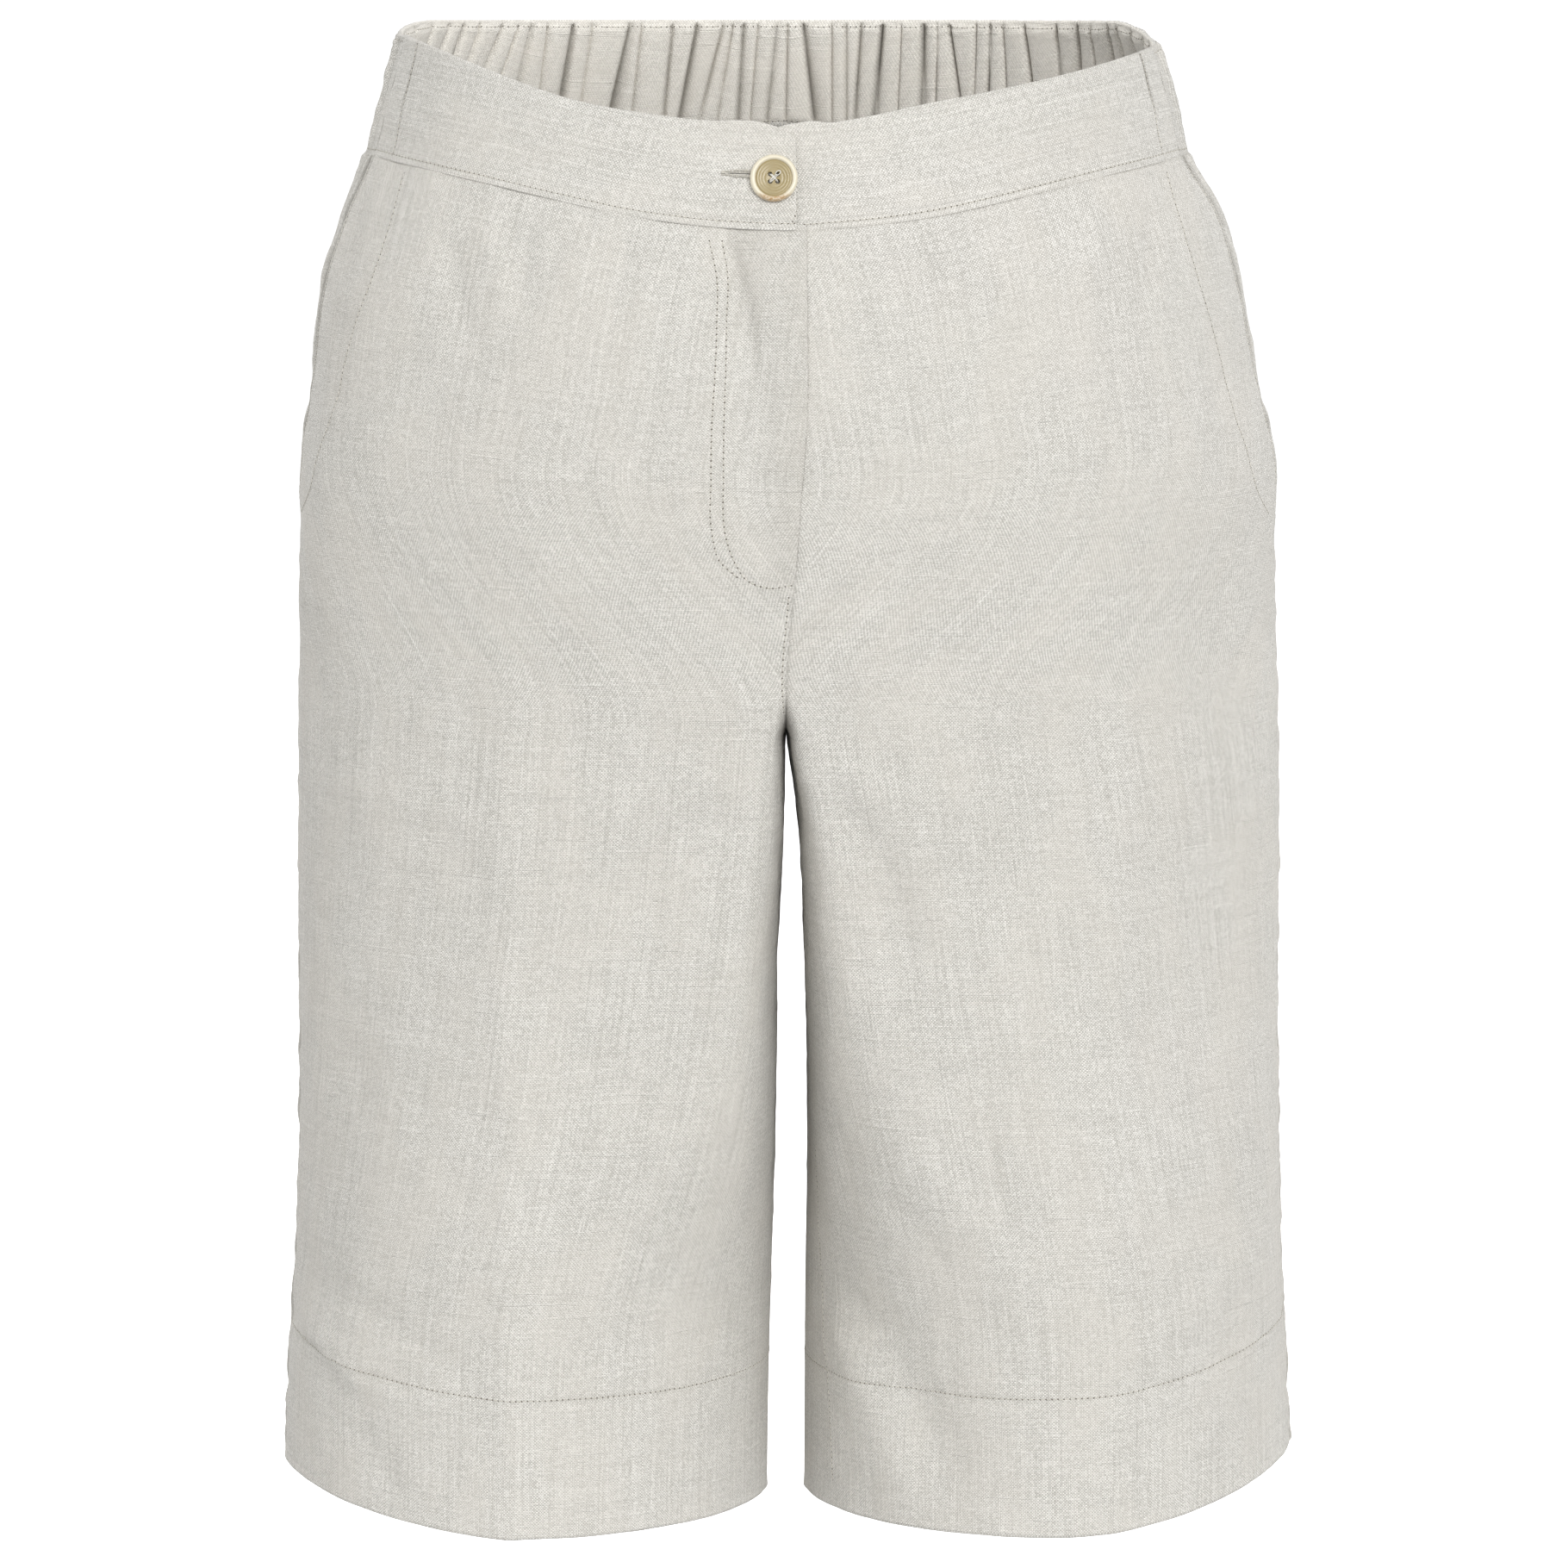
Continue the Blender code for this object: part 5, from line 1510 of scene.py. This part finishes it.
def needle_hole_shade(holes):
    """Small dark shapes between the stitches, level with the cloth: painted shade standing in for the needle
    holes.
    """
    verts = []
    faces = []
    circle = np.linspace(0.0, 2 * math.pi, HOLE_SIDES, endpoint=False)
    for place, out in holes:
        for centre, up in zip(place, out):
            across = unit(np.cross(up, np.array([0.3, 0.2, 1.0])))
            other = np.cross(up, across)
            first = len(verts)
            verts.append(centre + up * HOLE_TOP)
            verts.append(centre - up * HOLE_DEPTH)
            for turn in circle:
                verts.append(centre + (across * math.cos(turn) + other * math.sin(turn)) * HOLE_RADIUS)
            for k in range(HOLE_SIDES):
                a = first + 2 + k
                b = first + 2 + (k + 1) % HOLE_SIDES
                faces.append((first, a, b))
                faces.append((first + 1, b, a))
    return verts, faces


def sew(name, lines, seed):
    """One piece of stitching, with dark dots of painted shade at its needle holes."""
    thread, dark = sewing_materials()
    verts, faces, holes = stitches(lines, np.random.default_rng(seed))
    dress(plain_object(f"{name}_stitches", verts, faces), thread, "linen")
    verts, faces = needle_hole_shade(holes)
    dress(plain_object(f"{name}_needle_hole_shade", verts, faces), dark, "linen")


# ---------------------------------------------------------------- button and buttonhole

def front_frame(x, level, lift=0.0):
    """Place and axes of the front waistband's surface: x runs across and z stands out."""
    around = np.array([level - 2.0, level + 2.0])
    front = section("front", around)
    lean = Vector((0.0, float(front[0] - front[1]), 4.0)).normalized()
    across = Vector((1.0, 0.0, 0.0))
    out = across.cross(lean)
    turn = Matrix((across, lean, out)).transposed().to_4x4()
    place = Matrix.Translation(Vector((x, -float(front.mean()), level)) * MM) @ turn
    return place @ Matrix.Translation((0.0, 0.0, lift * MM))


BUTTON_OUTLINE_COLUMNS = ("radius", "height")
BUTTON_OUTLINE = (
    (0.00, 0.60),
    (0.10, 0.60),
    (0.20, 0.61),
    (0.30, 0.63),
    (0.38, 0.64),
    (0.405, 0.615),
    (0.43, 0.65),
    (0.50, 0.66),
    (0.525, 0.635),
    (0.55, 0.67),
    (0.62, 0.68),
    (0.645, 0.655),
    (0.67, 0.69),
    (0.735, 0.70),
    (0.755, 0.64),
    (0.775, 0.66),
    (0.79, 0.84),
    (0.815, 0.94),
    (0.855, 0.99),
    (0.90, 0.98),
    (0.94, 0.91),
    (0.975, 0.76),
    (0.995, 0.56),
    (1.00, 0.42),
    (0.98, 0.24),
    (0.92, 0.09),
    (0.82, 0.02),
    (0.60, 0.00),
    (0.00, 0.00),
)
BUTTON_RIM_FROM = 0.765
BUTTON_BACK_FROM = 22
BUTTON_STEPS = 96
THREAD_HOLES = 4
THREAD_HOLE_OUT = 1.95
THREAD_HOLE_RADIUS = 0.85
STRAND_RADIUS = 0.17
STRAND_POINTS = 12
STRAND_FOOT = 1.2
STRANDS_EACH_WAY = 5


def horn_materials():
    """The button's dished face and its pale rim, with patchy painted shade at the rim's lower edge."""
    looks = bpy.context.scene.shorts_button
    finishes = []
    for name, base, streak in (("button_face_horn", looks.face, 0.75), ("button_rim_horn", looks.rim, 0.85)):
        material, tree, shader = new_material(name)
        spot = object_place(tree)
        parts = made(tree, "ShaderNodeSeparateXYZ", ((0, spot),))
        across = calculate(tree, "MULTIPLY", parts.outputs[0], 0.35)
        drawn = combine(tree, across, parts.outputs[1], parts.outputs[2])
        share = noise(tree, drawn, 900.0, 4.0, 0.6)
        mixed = blend_colours(tree, share, paint(base, streak), paint(base))
        if name.startswith("button_rim"):
            # Painted shade: the rim darkens towards its lower edge, in patches.
            edge = remap(tree, parts.outputs[1], -0.0050, -0.0076, 0.0, 1.0)
            shade_patches = remap(tree, noise(tree, spot, 1300.0, 3.0), 0.3, 0.7, 0.3, 1.0)
            mixed = blend_colours(tree, calculate(tree, "MULTIPLY", edge, shade_patches), mixed, paint(looks.rim_lower_shade))
        tree.links.new(mixed, shader.inputs["Base Color"])
        rough = remap(tree, noise(tree, spot, 1500.0, 3.0), 0.3, 0.7, 0.28, 0.42)
        tree.links.new(rough, shader.inputs["Roughness"])
        raise_surface(tree, shader, share, 0.0001, 0.3)
        shader.inputs["Coat Weight"].default_value = 0.25
        shader.inputs["Coat Roughness"].default_value = 0.15
        finishes.append(material)
    return finishes


def button_disc(sizes):
    """The turned button; its four thread holes are cut through it afterwards."""
    outline = table(BUTTON_OUTLINE_COLUMNS, BUTTON_OUTLINE)
    mesh = bmesh.new()
    rings = []
    for radius, height in zip(outline["radius"] * sizes.radius, outline["height"] * sizes.thickness):
        if radius == 0.0:
            rings.append([mesh.verts.new((0.0, 0.0, height))])
            continue
        turns = [2 * math.pi * k / BUTTON_STEPS for k in range(BUTTON_STEPS)]
        rings.append([mesh.verts.new((radius * math.cos(t), radius * math.sin(t), height)) for t in turns])
    for count, (upper, lower) in enumerate(zip(rings[:-1], rings[1:])):
        rim = outline["radius"][count] >= BUTTON_RIM_FROM or count > BUTTON_BACK_FROM
        for k in range(BUTTON_STEPS):
            n = (k + 1) % BUTTON_STEPS
            if len(upper) == 1:
                face = mesh.faces.new((upper[0], lower[k], lower[n]))
            elif len(lower) == 1:
                face = mesh.faces.new((upper[k], lower[0], upper[n]))
            else:
                face = mesh.faces.new((upper[k], lower[k], lower[n], upper[n]))
            face.material_index = 1 if rim else 0
            face.smooth = True
    return from_bmesh("button_disc", mesh)


def hole_cutter(sizes):
    """Four thin cylinders where the thread goes through the button."""
    mesh = bmesh.new()
    for k in range(THREAD_HOLES):
        turn = Matrix.Rotation(2 * math.pi * (k + 0.5) / THREAD_HOLES, 4, "Z")
        place = turn @ Matrix.Translation((THREAD_HOLE_OUT * MM, 0.0, sizes.thickness / 2))
        bmesh.ops.create_cone(mesh, cap_ends=True, segments=20, radius1=THREAD_HOLE_RADIUS * MM,
                              radius2=THREAD_HOLE_RADIUS * MM, depth=3 * sizes.thickness, matrix=place)
    return from_bmesh("thread_hole_cutter", mesh)


def carve(node, cutter):
    """Cut one object out of another for good, and remove the cutter."""
    modifier = node.modifiers.new("cut", "BOOLEAN")
    modifier.operation = "DIFFERENCE"
    modifier.solver = "EXACT"
    modifier.object = cutter
    bpy.context.view_layer.update()
    evaluated = node.evaluated_get(bpy.context.evaluated_depsgraph_get())
    data = bpy.data.meshes.new_from_object(evaluated)
    node.modifiers.clear()
    node.data = data
    bpy.data.objects.remove(cutter, do_unlink=True)


def tube(points, radius, sides):
    """Vertices and faces of a tube along points, in the points' own units."""
    points = np.asarray(points, dtype=float)
    along = unit(np.gradient(points, axis=0))
    verts = []
    faces = []
    up = np.array([0.0, 0.0, 1.0])
    for k, (point, direction) in enumerate(zip(points, along)):
        across = np.cross(direction, up)
        if np.linalg.norm(across) < 0.05:
            across = np.array([1.0, 0.0, 0.0])
        across = unit(across)
        other = np.cross(across, direction)
        end = 0.45 if k in (0, len(points) - 1) else 1.0
        for side in range(sides):
            turn = 2 * math.pi * side / sides
            verts.append(point + end * radius * (across * math.cos(turn) + other * math.sin(turn)))
    for k in range(len(points) - 1):
        for side in range(sides):
            a = k * sides + side
            b = k * sides + (side + 1) % sides
            faces.append((a, a + sides, b + sides, b))
    faces.append(tuple(range(sides)))
    faces.append(tuple(range(len(points) * sides - sides, len(points) * sides))[::-1])
    return verts, faces


def joined_tubes(name, paths, radius, sides=8):
    """Several tubes as one object, paths in millimetres in the object's own frame."""
    verts = []
    faces = []
    for path in paths:
        more, quads = tube(path, radius, sides)
        faces += [tuple(len(verts) + k for k in quad) for quad in quads]
        verts += more
    return plain_object(name, verts, faces)


def arc_over(start, finish, rise, wander):
    """A thread's path from one point to another that rises between them."""
    start = np.asarray(start, dtype=float)
    finish = np.asarray(finish, dtype=float)
    path = []
    for t in np.linspace(0.0, 1.0, STRAND_POINTS):
        hump = math.sin(math.pi * t) ** 0.6
        path.append(start + (finish - start) * t + np.array([*wander, rise]) * hump)
    return path


def button_thread_paths(rng):
    """Strands that cross over the middle of the button, and a loose loop."""
    paths = []
    out = THREAD_HOLE_OUT / math.sqrt(2)
    corners = [(out, out), (-out, out), (-out, -out), (out, -out)]
    for a, b in ((0, 2), (1, 3)):
        for _ in range(STRANDS_EACH_WAY):
            jitter = rng.normal(0.0, 0.16, 4)
            start = (corners[a][0] + jitter[0], corners[a][1] + jitter[1], STRAND_FOOT)
            finish = (corners[b][0] + jitter[2], corners[b][1] + jitter[3], STRAND_FOOT)
            wander = rng.normal(0.0, 0.22, 2)
            paths.append(arc_over(start, finish, 1.15 + 0.3 * rng.random(), wander))
    loop = []
    for t in np.linspace(0.0, 1.0, 26):
        turn = 2 * math.pi * t * 0.93 + math.pi
        loop.append((1.5 + 1.05 * math.cos(turn) * 0.9, 1.6 + 0.75 * math.sin(turn) + 0.4 * math.cos(turn),
                     2.6 + 0.5 * math.sin(math.pi * t)))
    loop = [(0.25, 0.35, 2.1)] + loop + [(0.5, 0.2, 2.2)]
    paths.append(loop)
    return paths


BUTTONHOLE_LEFT = -22.4
BUTTONHOLE_RIGHT = -1.0
LIP_REACH = 1.25
LIP_PITCH = 0.36
LIP_RADIUS = 0.16
LIP_POINTS = 8


def buttonhole_slit(band):
    """The row under the buttonhole's slit and the columns that it runs between."""
    x = band.base[SLIT_ROW, :, 0]
    return (SLIT_ROW, int(np.searchsorted(x, BUTTONHOLE_LEFT)), int(np.searchsorted(x, BUTTONHOLE_RIGHT)))


def buttonhole_paths(band, rng):
    """Close stitches over both lips of the buttonhole, and a bar at its outer end."""
    tall = band.height[0, -1]
    rows = np.arange(len(BAND_HEIGHTS))

    def over(x, low, high, hump, ends=(0.0, 0.0)):
        """A thread's path over the band, from one distance off the slit to another."""
        t = np.linspace(0.0, 1.0, LIP_POINTS)
        share = SLIT_SHARE + (low + (high - low) * t) / tall
        column = np.interp(x, band.base[SLIT_ROW, :, 0], band.columns)
        places = np.stack([np.interp(share, BAND_HEIGHTS, rows), np.full(LIP_POINTS, column)], axis=-1)
        points, normals = band.read(places)
        rise = hump * np.sin(math.pi * t) ** 0.5 + ends[0] * (1.0 - t) ** 3 + ends[1] * t ** 3
        return points + normals * rise[:, None]

    paths = []
    for x in np.arange(BUTTONHOLE_LEFT, BUTTONHOLE_RIGHT, LIP_PITCH):
        narrow = 0.35 + 0.65 * smooth_step(x, BUTTONHOLE_LEFT - 2.0, BUTTONHOLE_LEFT + 6.0)
        for sign in (-1.0, 1.0):
            reach = sign * (0.18 + LIP_REACH * narrow * (1.0 + 0.1 * rng.normal()))
            paths.append(over(x + 0.1 * rng.normal(), sign * 0.1, reach, 0.3, (-0.35, -0.05)))
    for x in np.arange(-1.1, 0.1, 0.28):
        paths.append(over(BUTTONHOLE_LEFT + x, -0.75, 0.75, 0.42))
    return paths


# ---------------------------------------------------------------- operators

# How far the pocket bags reach towards the centre, as shares of the front, by level.
POCKET_COLUMNS = ("level", "reach")
POCKET_REACH = ((-14, 0.46), (-60, 0.49), (-108, 0.51), (-132, 0.51),
                (-156, 0.49), (-178, 0.44), (-196, 0.34), (-204, 0.22))
POCKET_TOP = -13.0
POCKET_FROM = 0.03
POCKET_ACROSS = 44
POCKET_BEHIND = 2.9
POCKET_THICKNESS = 0.9
SHIELD_LEVELS = (-14.0, -168.0)
SHIELD_NARROWS = -132.0
SHIELD_ROWS = 74
SHIELD_ACROSS = 22
SHIELD_BEHIND = 3.5

SHAPED = {}


def panel(side, face):
    """A shaped panel, made once and kept for the pieces that lie on it."""
    key = (side, face)
    if key not in SHAPED:
        SHAPED[key] = Panel(side, face)
    return SHAPED[key]


def sewing_materials():
    """The stitching's thread and the painted shade of its needle holes, made once."""
    if "thread" not in SHAPED:
        looks = bpy.context.scene.shorts_looks
        SHAPED["thread"] = thread_material("sewing_thread", tuple(looks.sewing_thread))
        SHAPED["hole"] = needle_hole_shade_material()
    return SHAPED["thread"], SHAPED["hole"]


class SHORTS_OT_fronts(bpy.types.Operator):
    """Make both fronts, with the fly's lap and the edges of the pocket mouths"""
    bl_idname = "shorts.fronts"
    bl_label = "Fronts"

    def execute(self, context):
        for side in SIDES:
            panel(side, FRONT).build(side_linen(side, "front"))
        return {"FINISHED"}


class SHORTS_OT_backs(bpy.types.Operator):
    """Make both backs, gathered under the elastic waistband"""
    bl_idname = "shorts.backs"
    bl_label = "Backs"

    def execute(self, context):
        for side in SIDES:
            panel(side, BACK).build(side_linen(side, "back"))
        return {"FINISHED"}


class SHORTS_OT_hems(bpy.types.Operator):
    """Make the deep turned-up hems"""
    bl_idname = "shorts.hems"
    bl_label = "Hems"

    def execute(self, context):
        for side in SIDES:
            build_hem(side, (panel(side, FRONT), panel(side, BACK)), side_linen(side, "hem"))
        return {"FINISHED"}


class SHORTS_OT_waistbands(bpy.types.Operator):
    """Make the plain front waistbands and the gathered back one"""
    bl_idname = "shorts.waistbands"
    bl_label = "Waistbands"

    def execute(self, context):
        for side in SIDES:
            band = SHAPED["band", side] = front_band(side)
            name = f"{SIDE_NAMES[side]}_front_waistband"
            node = band.build(f"{name}_cloth", buttonhole_slit(band) if side == RIGHT else None)
            dress(node, side_linen(side, "front_waistband"), "linen", name)
        band = SHAPED["back_band"] = back_band()
        node = band.build("back_waistband_cloth")
        place = LINEN_PLACES["back_waistband"]
        dress(node, linen_material("back_waistband_linen", place), "linen", "back_waistband")
        # The inside faces get a copy of the linen painted brighter: painted light.
        node.data.materials.append(linen_material("back_waistband_inside_painted_light", place, *INSIDE_PAINTED_LIGHT))
        rows = np.arange(len(node.data.polygons)) // (band.along.shape[1] - 1)
        inside = (rows >= len(BAND_HEIGHTS)) & (rows < 2 * len(BAND_HEIGHTS) - 1)
        node.data.polygons.foreach_set("material_index", inside.astype(np.int32))
        return {"FINISHED"}


class SHORTS_OT_pockets(bpy.types.Operator):
    """Make the pocket bags behind the fronts and the shield behind the fly"""
    bl_idname = "shorts.pockets"
    bl_label = "Pockets and fly shield"

    def execute(self, context):
        reach = table(POCKET_COLUMNS, POCKET_REACH)
        share = np.linspace(0, 1, POCKET_ACROSS)
        for side in SIDES:
            source = panel(side, FRONT)
            kept = (source.nominals <= POCKET_TOP) & (source.nominals >= POCKET_REACH[-1][0])
            points = []
            for k in np.flatnonzero(kept)[::2]:
                far = np.interp(-source.nominals[k], -reach["level"], reach["reach"])
                columns = np.interp(POCKET_FROM + share * (far - POCKET_FROM), source.shares, source.columns)
                places = np.stack([np.full(POCKET_ACROSS, float(k)), columns], axis=-1)
                place, out = read_grid(source.base, source.normals, places)
                points.append(place - out * POCKET_BEHIND)
            points = np.stack(points)
            grain = grain_of(points)
            lift = 0.35 * ripple(grain[..., 0], grain[..., 1], 61 + side, 50.0, 15.0)
            points = points - outward(points, source.turn) * (0.4 - lift)[..., None]
            name = f"{SIDE_NAMES[side]}_pocket"
            node = grid_object(f"{name}_cloth", points, grain, source.turn)
            thickened(node, POCKET_THICKNESS)
            dress(node, side_linen(side, "pocket"), "linen", name)
        self.shield()
        return {"FINISHED"}

    def shield(self):
        """A narrow shield behind the fly, curved in at its foot."""
        nominals = np.linspace(*SHIELD_LEVELS, SHIELD_ROWS)
        foot = np.clip((SHIELD_NARROWS - nominals) / (SHIELD_NARROWS - SHIELD_LEVELS[1]), 0.0, 1.0)
        levels = nominals + (WAIST["seam"][0] - PANEL_TOP) * panel_follows_seam(nominals)
        from_x = -26.0 + 16.0 * foot ** 2
        to_x = 16.0 - 6.0 * foot
        xs = from_x[:, None] + (to_x - from_x)[:, None] * np.linspace(0.0, 1.0, SHIELD_ACROSS)
        levels = np.broadcast_to(levels[:, None], xs.shape)
        y = SHIELD_BEHIND - ring_depth(LEFT, section("front", levels), levels, xs)
        points = np.stack([xs, y, levels], axis=-1)
        points[..., 1] += 0.15 * ripple(xs, levels, 66, 40.0, 12.0)
        node = grid_object("fly_shield_cloth", points, grain_of(points), -1)
        thickened(node, POCKET_THICKNESS)
        linen = linen_material("fly_shield_linen", LINEN_PLACES["fly_shield"])
        dress(node, linen, "linen", "fly_shield")


class SHORTS_OT_stitching(bpy.types.Operator):
    """Sew the lines of stitching, with dark dots of painted shade at their needle holes"""
    bl_idname = "shorts.stitching"
    bl_label = "Stitching"

    def execute(self, context):
        for side in SIDES:
            name = SIDE_NAMES[side]
            front = panel(side, FRONT)
            band = SHAPED["band", side]
            sew(f"{name}_hem", [front.at_rise(HEM_LINE), panel(side, BACK).at_rise(HEM_LINE)], 201 + side)
            lines = [front.beside(*MOUTH_STITCH), front.drawn(FACING_LINE)]
            if side == LEFT:
                lines.append(front.drawn(INSEAM_LINE))
            sew(f"{name}_pocket", lines, 211 + side)
            lines = [band.at_height(BAND_STITCH, high=BAND_STITCH_ENDS[side]),
                     band.upright(*ELASTIC_END, 0.05, 0.97)]
            if side == RIGHT:
                end = band.along[0, -1] - END_STITCH
                lines.append(band.upright(end, end, 0.08, 0.93))
            sew(f"{name}_waistband", lines, 221 + side)
        front = panel(RIGHT, FRONT)
        lines = [front.drawn(FLY_OUTER_LINE), front.drawn(FLY_INNER_LINE),
                 front.beside(*CENTRE_STITCH, centre=True)]
        sew("fly", lines, 231)
        band = SHAPED["back_band"]
        faces = ("outer", "inner")
        lines = [band.at_height(BAND_STITCH, from_top=True, face=face) for face in faces]
        lines += [band.at_height(BACK_SEAM_STITCH, face=face) for face in faces]
        sew("back_waistband", lines, 241)
        return {"FINISHED"}


class SHORTS_OT_button(bpy.types.Operator):
    """Make the button, its thread and the buttonhole's stitching"""
    bl_idname = "shorts.button"
    bl_label = "Button and buttonhole"

    def execute(self, context):
        sizes = context.scene.shorts_button
        face, rim = horn_materials()
        node = button_disc(sizes)
        node.data.materials.append(face)
        node.data.materials.append(rim)
        carve(node, hole_cutter(sizes))
        place = front_frame(BUTTON_X, sizes.level / MM, sizes.lift / MM)
        node.matrix_world = place
        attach(node, "root")
        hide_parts("button")
        rng = np.random.default_rng(301)
        thread = joined_tubes("button_thread", button_thread_paths(rng), STRAND_RADIUS)
        thread.matrix_world = place
        dress(thread, thread_material("button_sewing_thread", (0.78, 0.76, 0.70)), "linen")
        paths = buttonhole_paths(SHAPED["band", RIGHT], rng)
        lips = joined_tubes("buttonhole_stitches", paths, LIP_RADIUS, sides=6)
        dress(lips, sewing_materials()[0], "linen")
        return {"FINISHED"}


BLACK = (0.0, 0.0, 0.0, 1.0)
WHITE = (1.0, 1.0, 1.0, 1.0)
WORLD_LIGHT = 0.64
WORLD_SEEN = 1.1
SENSOR_WIDTH = 36.0
VIEW_DISTANCE = 6240.0
VIEW_WIDTH = 1820.0
CAMERA_X = -0.0007
# Suns: direction, strength and spread in degrees.
SUNS = (
    ("front_light", (-0.30, 0.88, -0.34), 1.88, 30.0),
    ("left_light", (0.84, 0.52, -0.10), 0.9, 60.0),
    ("right_light", (-0.80, 0.58, -0.10), 0.58, 60.0),
)
# Softboxes behind the shorts: place, size and power.
SOFTBOXES = (
    ("back_softbox", (-1.4, 2.4, 0.6), 1.4, 30.0),
    ("back_fill_softbox", (1.8, 2.0, 0.0), 1.4, 14.0),
)
SOFTBOX_AIM = Vector((0.0, 0.0, -0.25))


def studio_light(name, kind, power, aim, **more):
    """A light that shines along aim."""
    light = bpy.data.lights.new(name, kind)
    light.energy = power
    for key, value in more.items():
        setattr(light, key, value)
    node = linked(name, light)
    node.rotation_euler = aim.to_track_quat("-Z", "Y").to_euler()
    return node


class SHORTS_OT_studio(bpy.types.Operator):
    """Make the pale floor, the soft lights and the camera"""
    bl_idname = "shorts.studio"
    bl_label = "Studio"

    def execute(self, context):
        studio = context.scene.shorts_studio
        self.floor(studio)
        self.lights()
        self.camera(studio)
        return {"FINISHED"}

    def floor(self, studio):
        mesh = bmesh.new()
        bmesh.ops.create_circle(mesh, cap_ends=True, segments=128, radius=studio.floor_radius)
        node = from_bmesh("studio_floor", mesh)
        node.location.z = studio.floor_level
        material, tree, shader = new_material("studio_floor_paper")
        share = noise(tree, object_place(tree), 2.0, 2.0)
        pale = blend_colours(tree, share, (0.91, 0.91, 0.91, 1.0), (0.93, 0.93, 0.93, 1.0))
        seen = tree.nodes.new("ShaderNodeLightPath").outputs["Is Camera Ray"]
        paper = blend_colours(tree, seen, (0.5, 0.5, 0.5, 1.0), pale)
        tree.links.new(paper, shader.inputs["Base Color"])
        shader.inputs["Roughness"].default_value = 0.9
        tree.links.new(blend_colours(tree, seen, BLACK, WHITE),
                       shader.inputs["Emission Color"])
        shader.inputs["Emission Strength"].default_value = 0.6
        node.data.materials.append(material)

    def lights(self):
        scene = bpy.context.scene
        scene.view_settings.view_transform = "Standard"
        world = bpy.data.worlds.new("studio_light")
        world.use_nodes = True
        tree = world.node_tree
        back = tree.nodes["Background"]
        back.inputs["Color"].default_value = WHITE
        seen = tree.nodes.new("ShaderNodeLightPath").outputs["Is Camera Ray"]
        tree.links.new(blend_values(tree, seen, WORLD_LIGHT, WORLD_SEEN), back.inputs["Strength"])
        scene.world = world
        for name, direction, strength, spread in SUNS:
            studio_light(name, "SUN", strength, Vector(direction), angle=math.radians(spread))
        for name, place, size, power in SOFTBOXES:
            aim = SOFTBOX_AIM - Vector(place)
            node = studio_light(name, "AREA", power, aim, shape="DISK", size=size)
            node.location = place
            node.visible_camera = False

    def camera(self, studio):
        lens = bpy.data.cameras.new("front_camera")
        lens.sensor_width = SENSOR_WIDTH
        lens.lens = SENSOR_WIDTH * VIEW_DISTANCE / VIEW_WIDTH
        lens.clip_start = 0.05
        lens.clip_end = 60.0
        node = linked("front_camera", lens)
        node.location = (CAMERA_X, -studio.camera_distance, studio.camera_height)
        node.rotation_euler = (math.pi / 2 - studio.camera_pitch, 0.0, 0.0)
        bpy.context.scene.camera = node


OPERATORS = (
    SHORTS_OT_studio,
    SHORTS_OT_fronts,
    SHORTS_OT_backs,
    SHORTS_OT_hems,
    SHORTS_OT_waistbands,
    SHORTS_OT_pockets,
    SHORTS_OT_stitching,
    SHORTS_OT_button,
)


GROUPS = (
    ("shorts_looks", ShortsLooks),
    ("shorts_cloth", ShortsCloth),
    ("shorts_stitches", ShortsStitches),
    ("shorts_button", ShortsButton),
    ("shorts_studio", ShortsStudio),
)


class SHORTS_PT_sidebar(bpy.types.Panel):
    """Lists the steps that dress the shorts, and their sizes and colours"""
    bl_idname = "SHORTS_PT_sidebar"
    bl_label = "Linen Bermuda Shorts"
    bl_space_type = "VIEW_3D"
    bl_region_type = "UI"
    bl_category = "Shorts"

    def draw(self, context):
        for operator in OPERATORS:
            self.layout.operator(operator.bl_idname)
        for name, _ in GROUPS:
            group = getattr(context.scene, name)
            box = self.layout.box()
            for prop in group.bl_rna.properties:
                if prop.identifier not in ("rna_type", "name"):
                    box.prop(group, prop.identifier)


def register():
    for name, group in GROUPS:
        bpy.utils.register_class(group)
        setattr(bpy.types.Scene, name, bpy.props.PointerProperty(type=group))
    for operator in OPERATORS:
        bpy.utils.register_class(operator)
    bpy.utils.register_class(SHORTS_PT_sidebar)


def unregister():
    bpy.utils.unregister_class(SHORTS_PT_sidebar)
    for operator in reversed(OPERATORS):
        bpy.utils.unregister_class(operator)
    for name, group in reversed(GROUPS):
        delattr(bpy.types.Scene, name)
        bpy.utils.unregister_class(group)


def main():
    register()
    for operator in OPERATORS:
        group, name = operator.bl_idname.split(".")
        getattr(getattr(bpy.ops, group), name)()


if __name__ == "__main__":
    main()
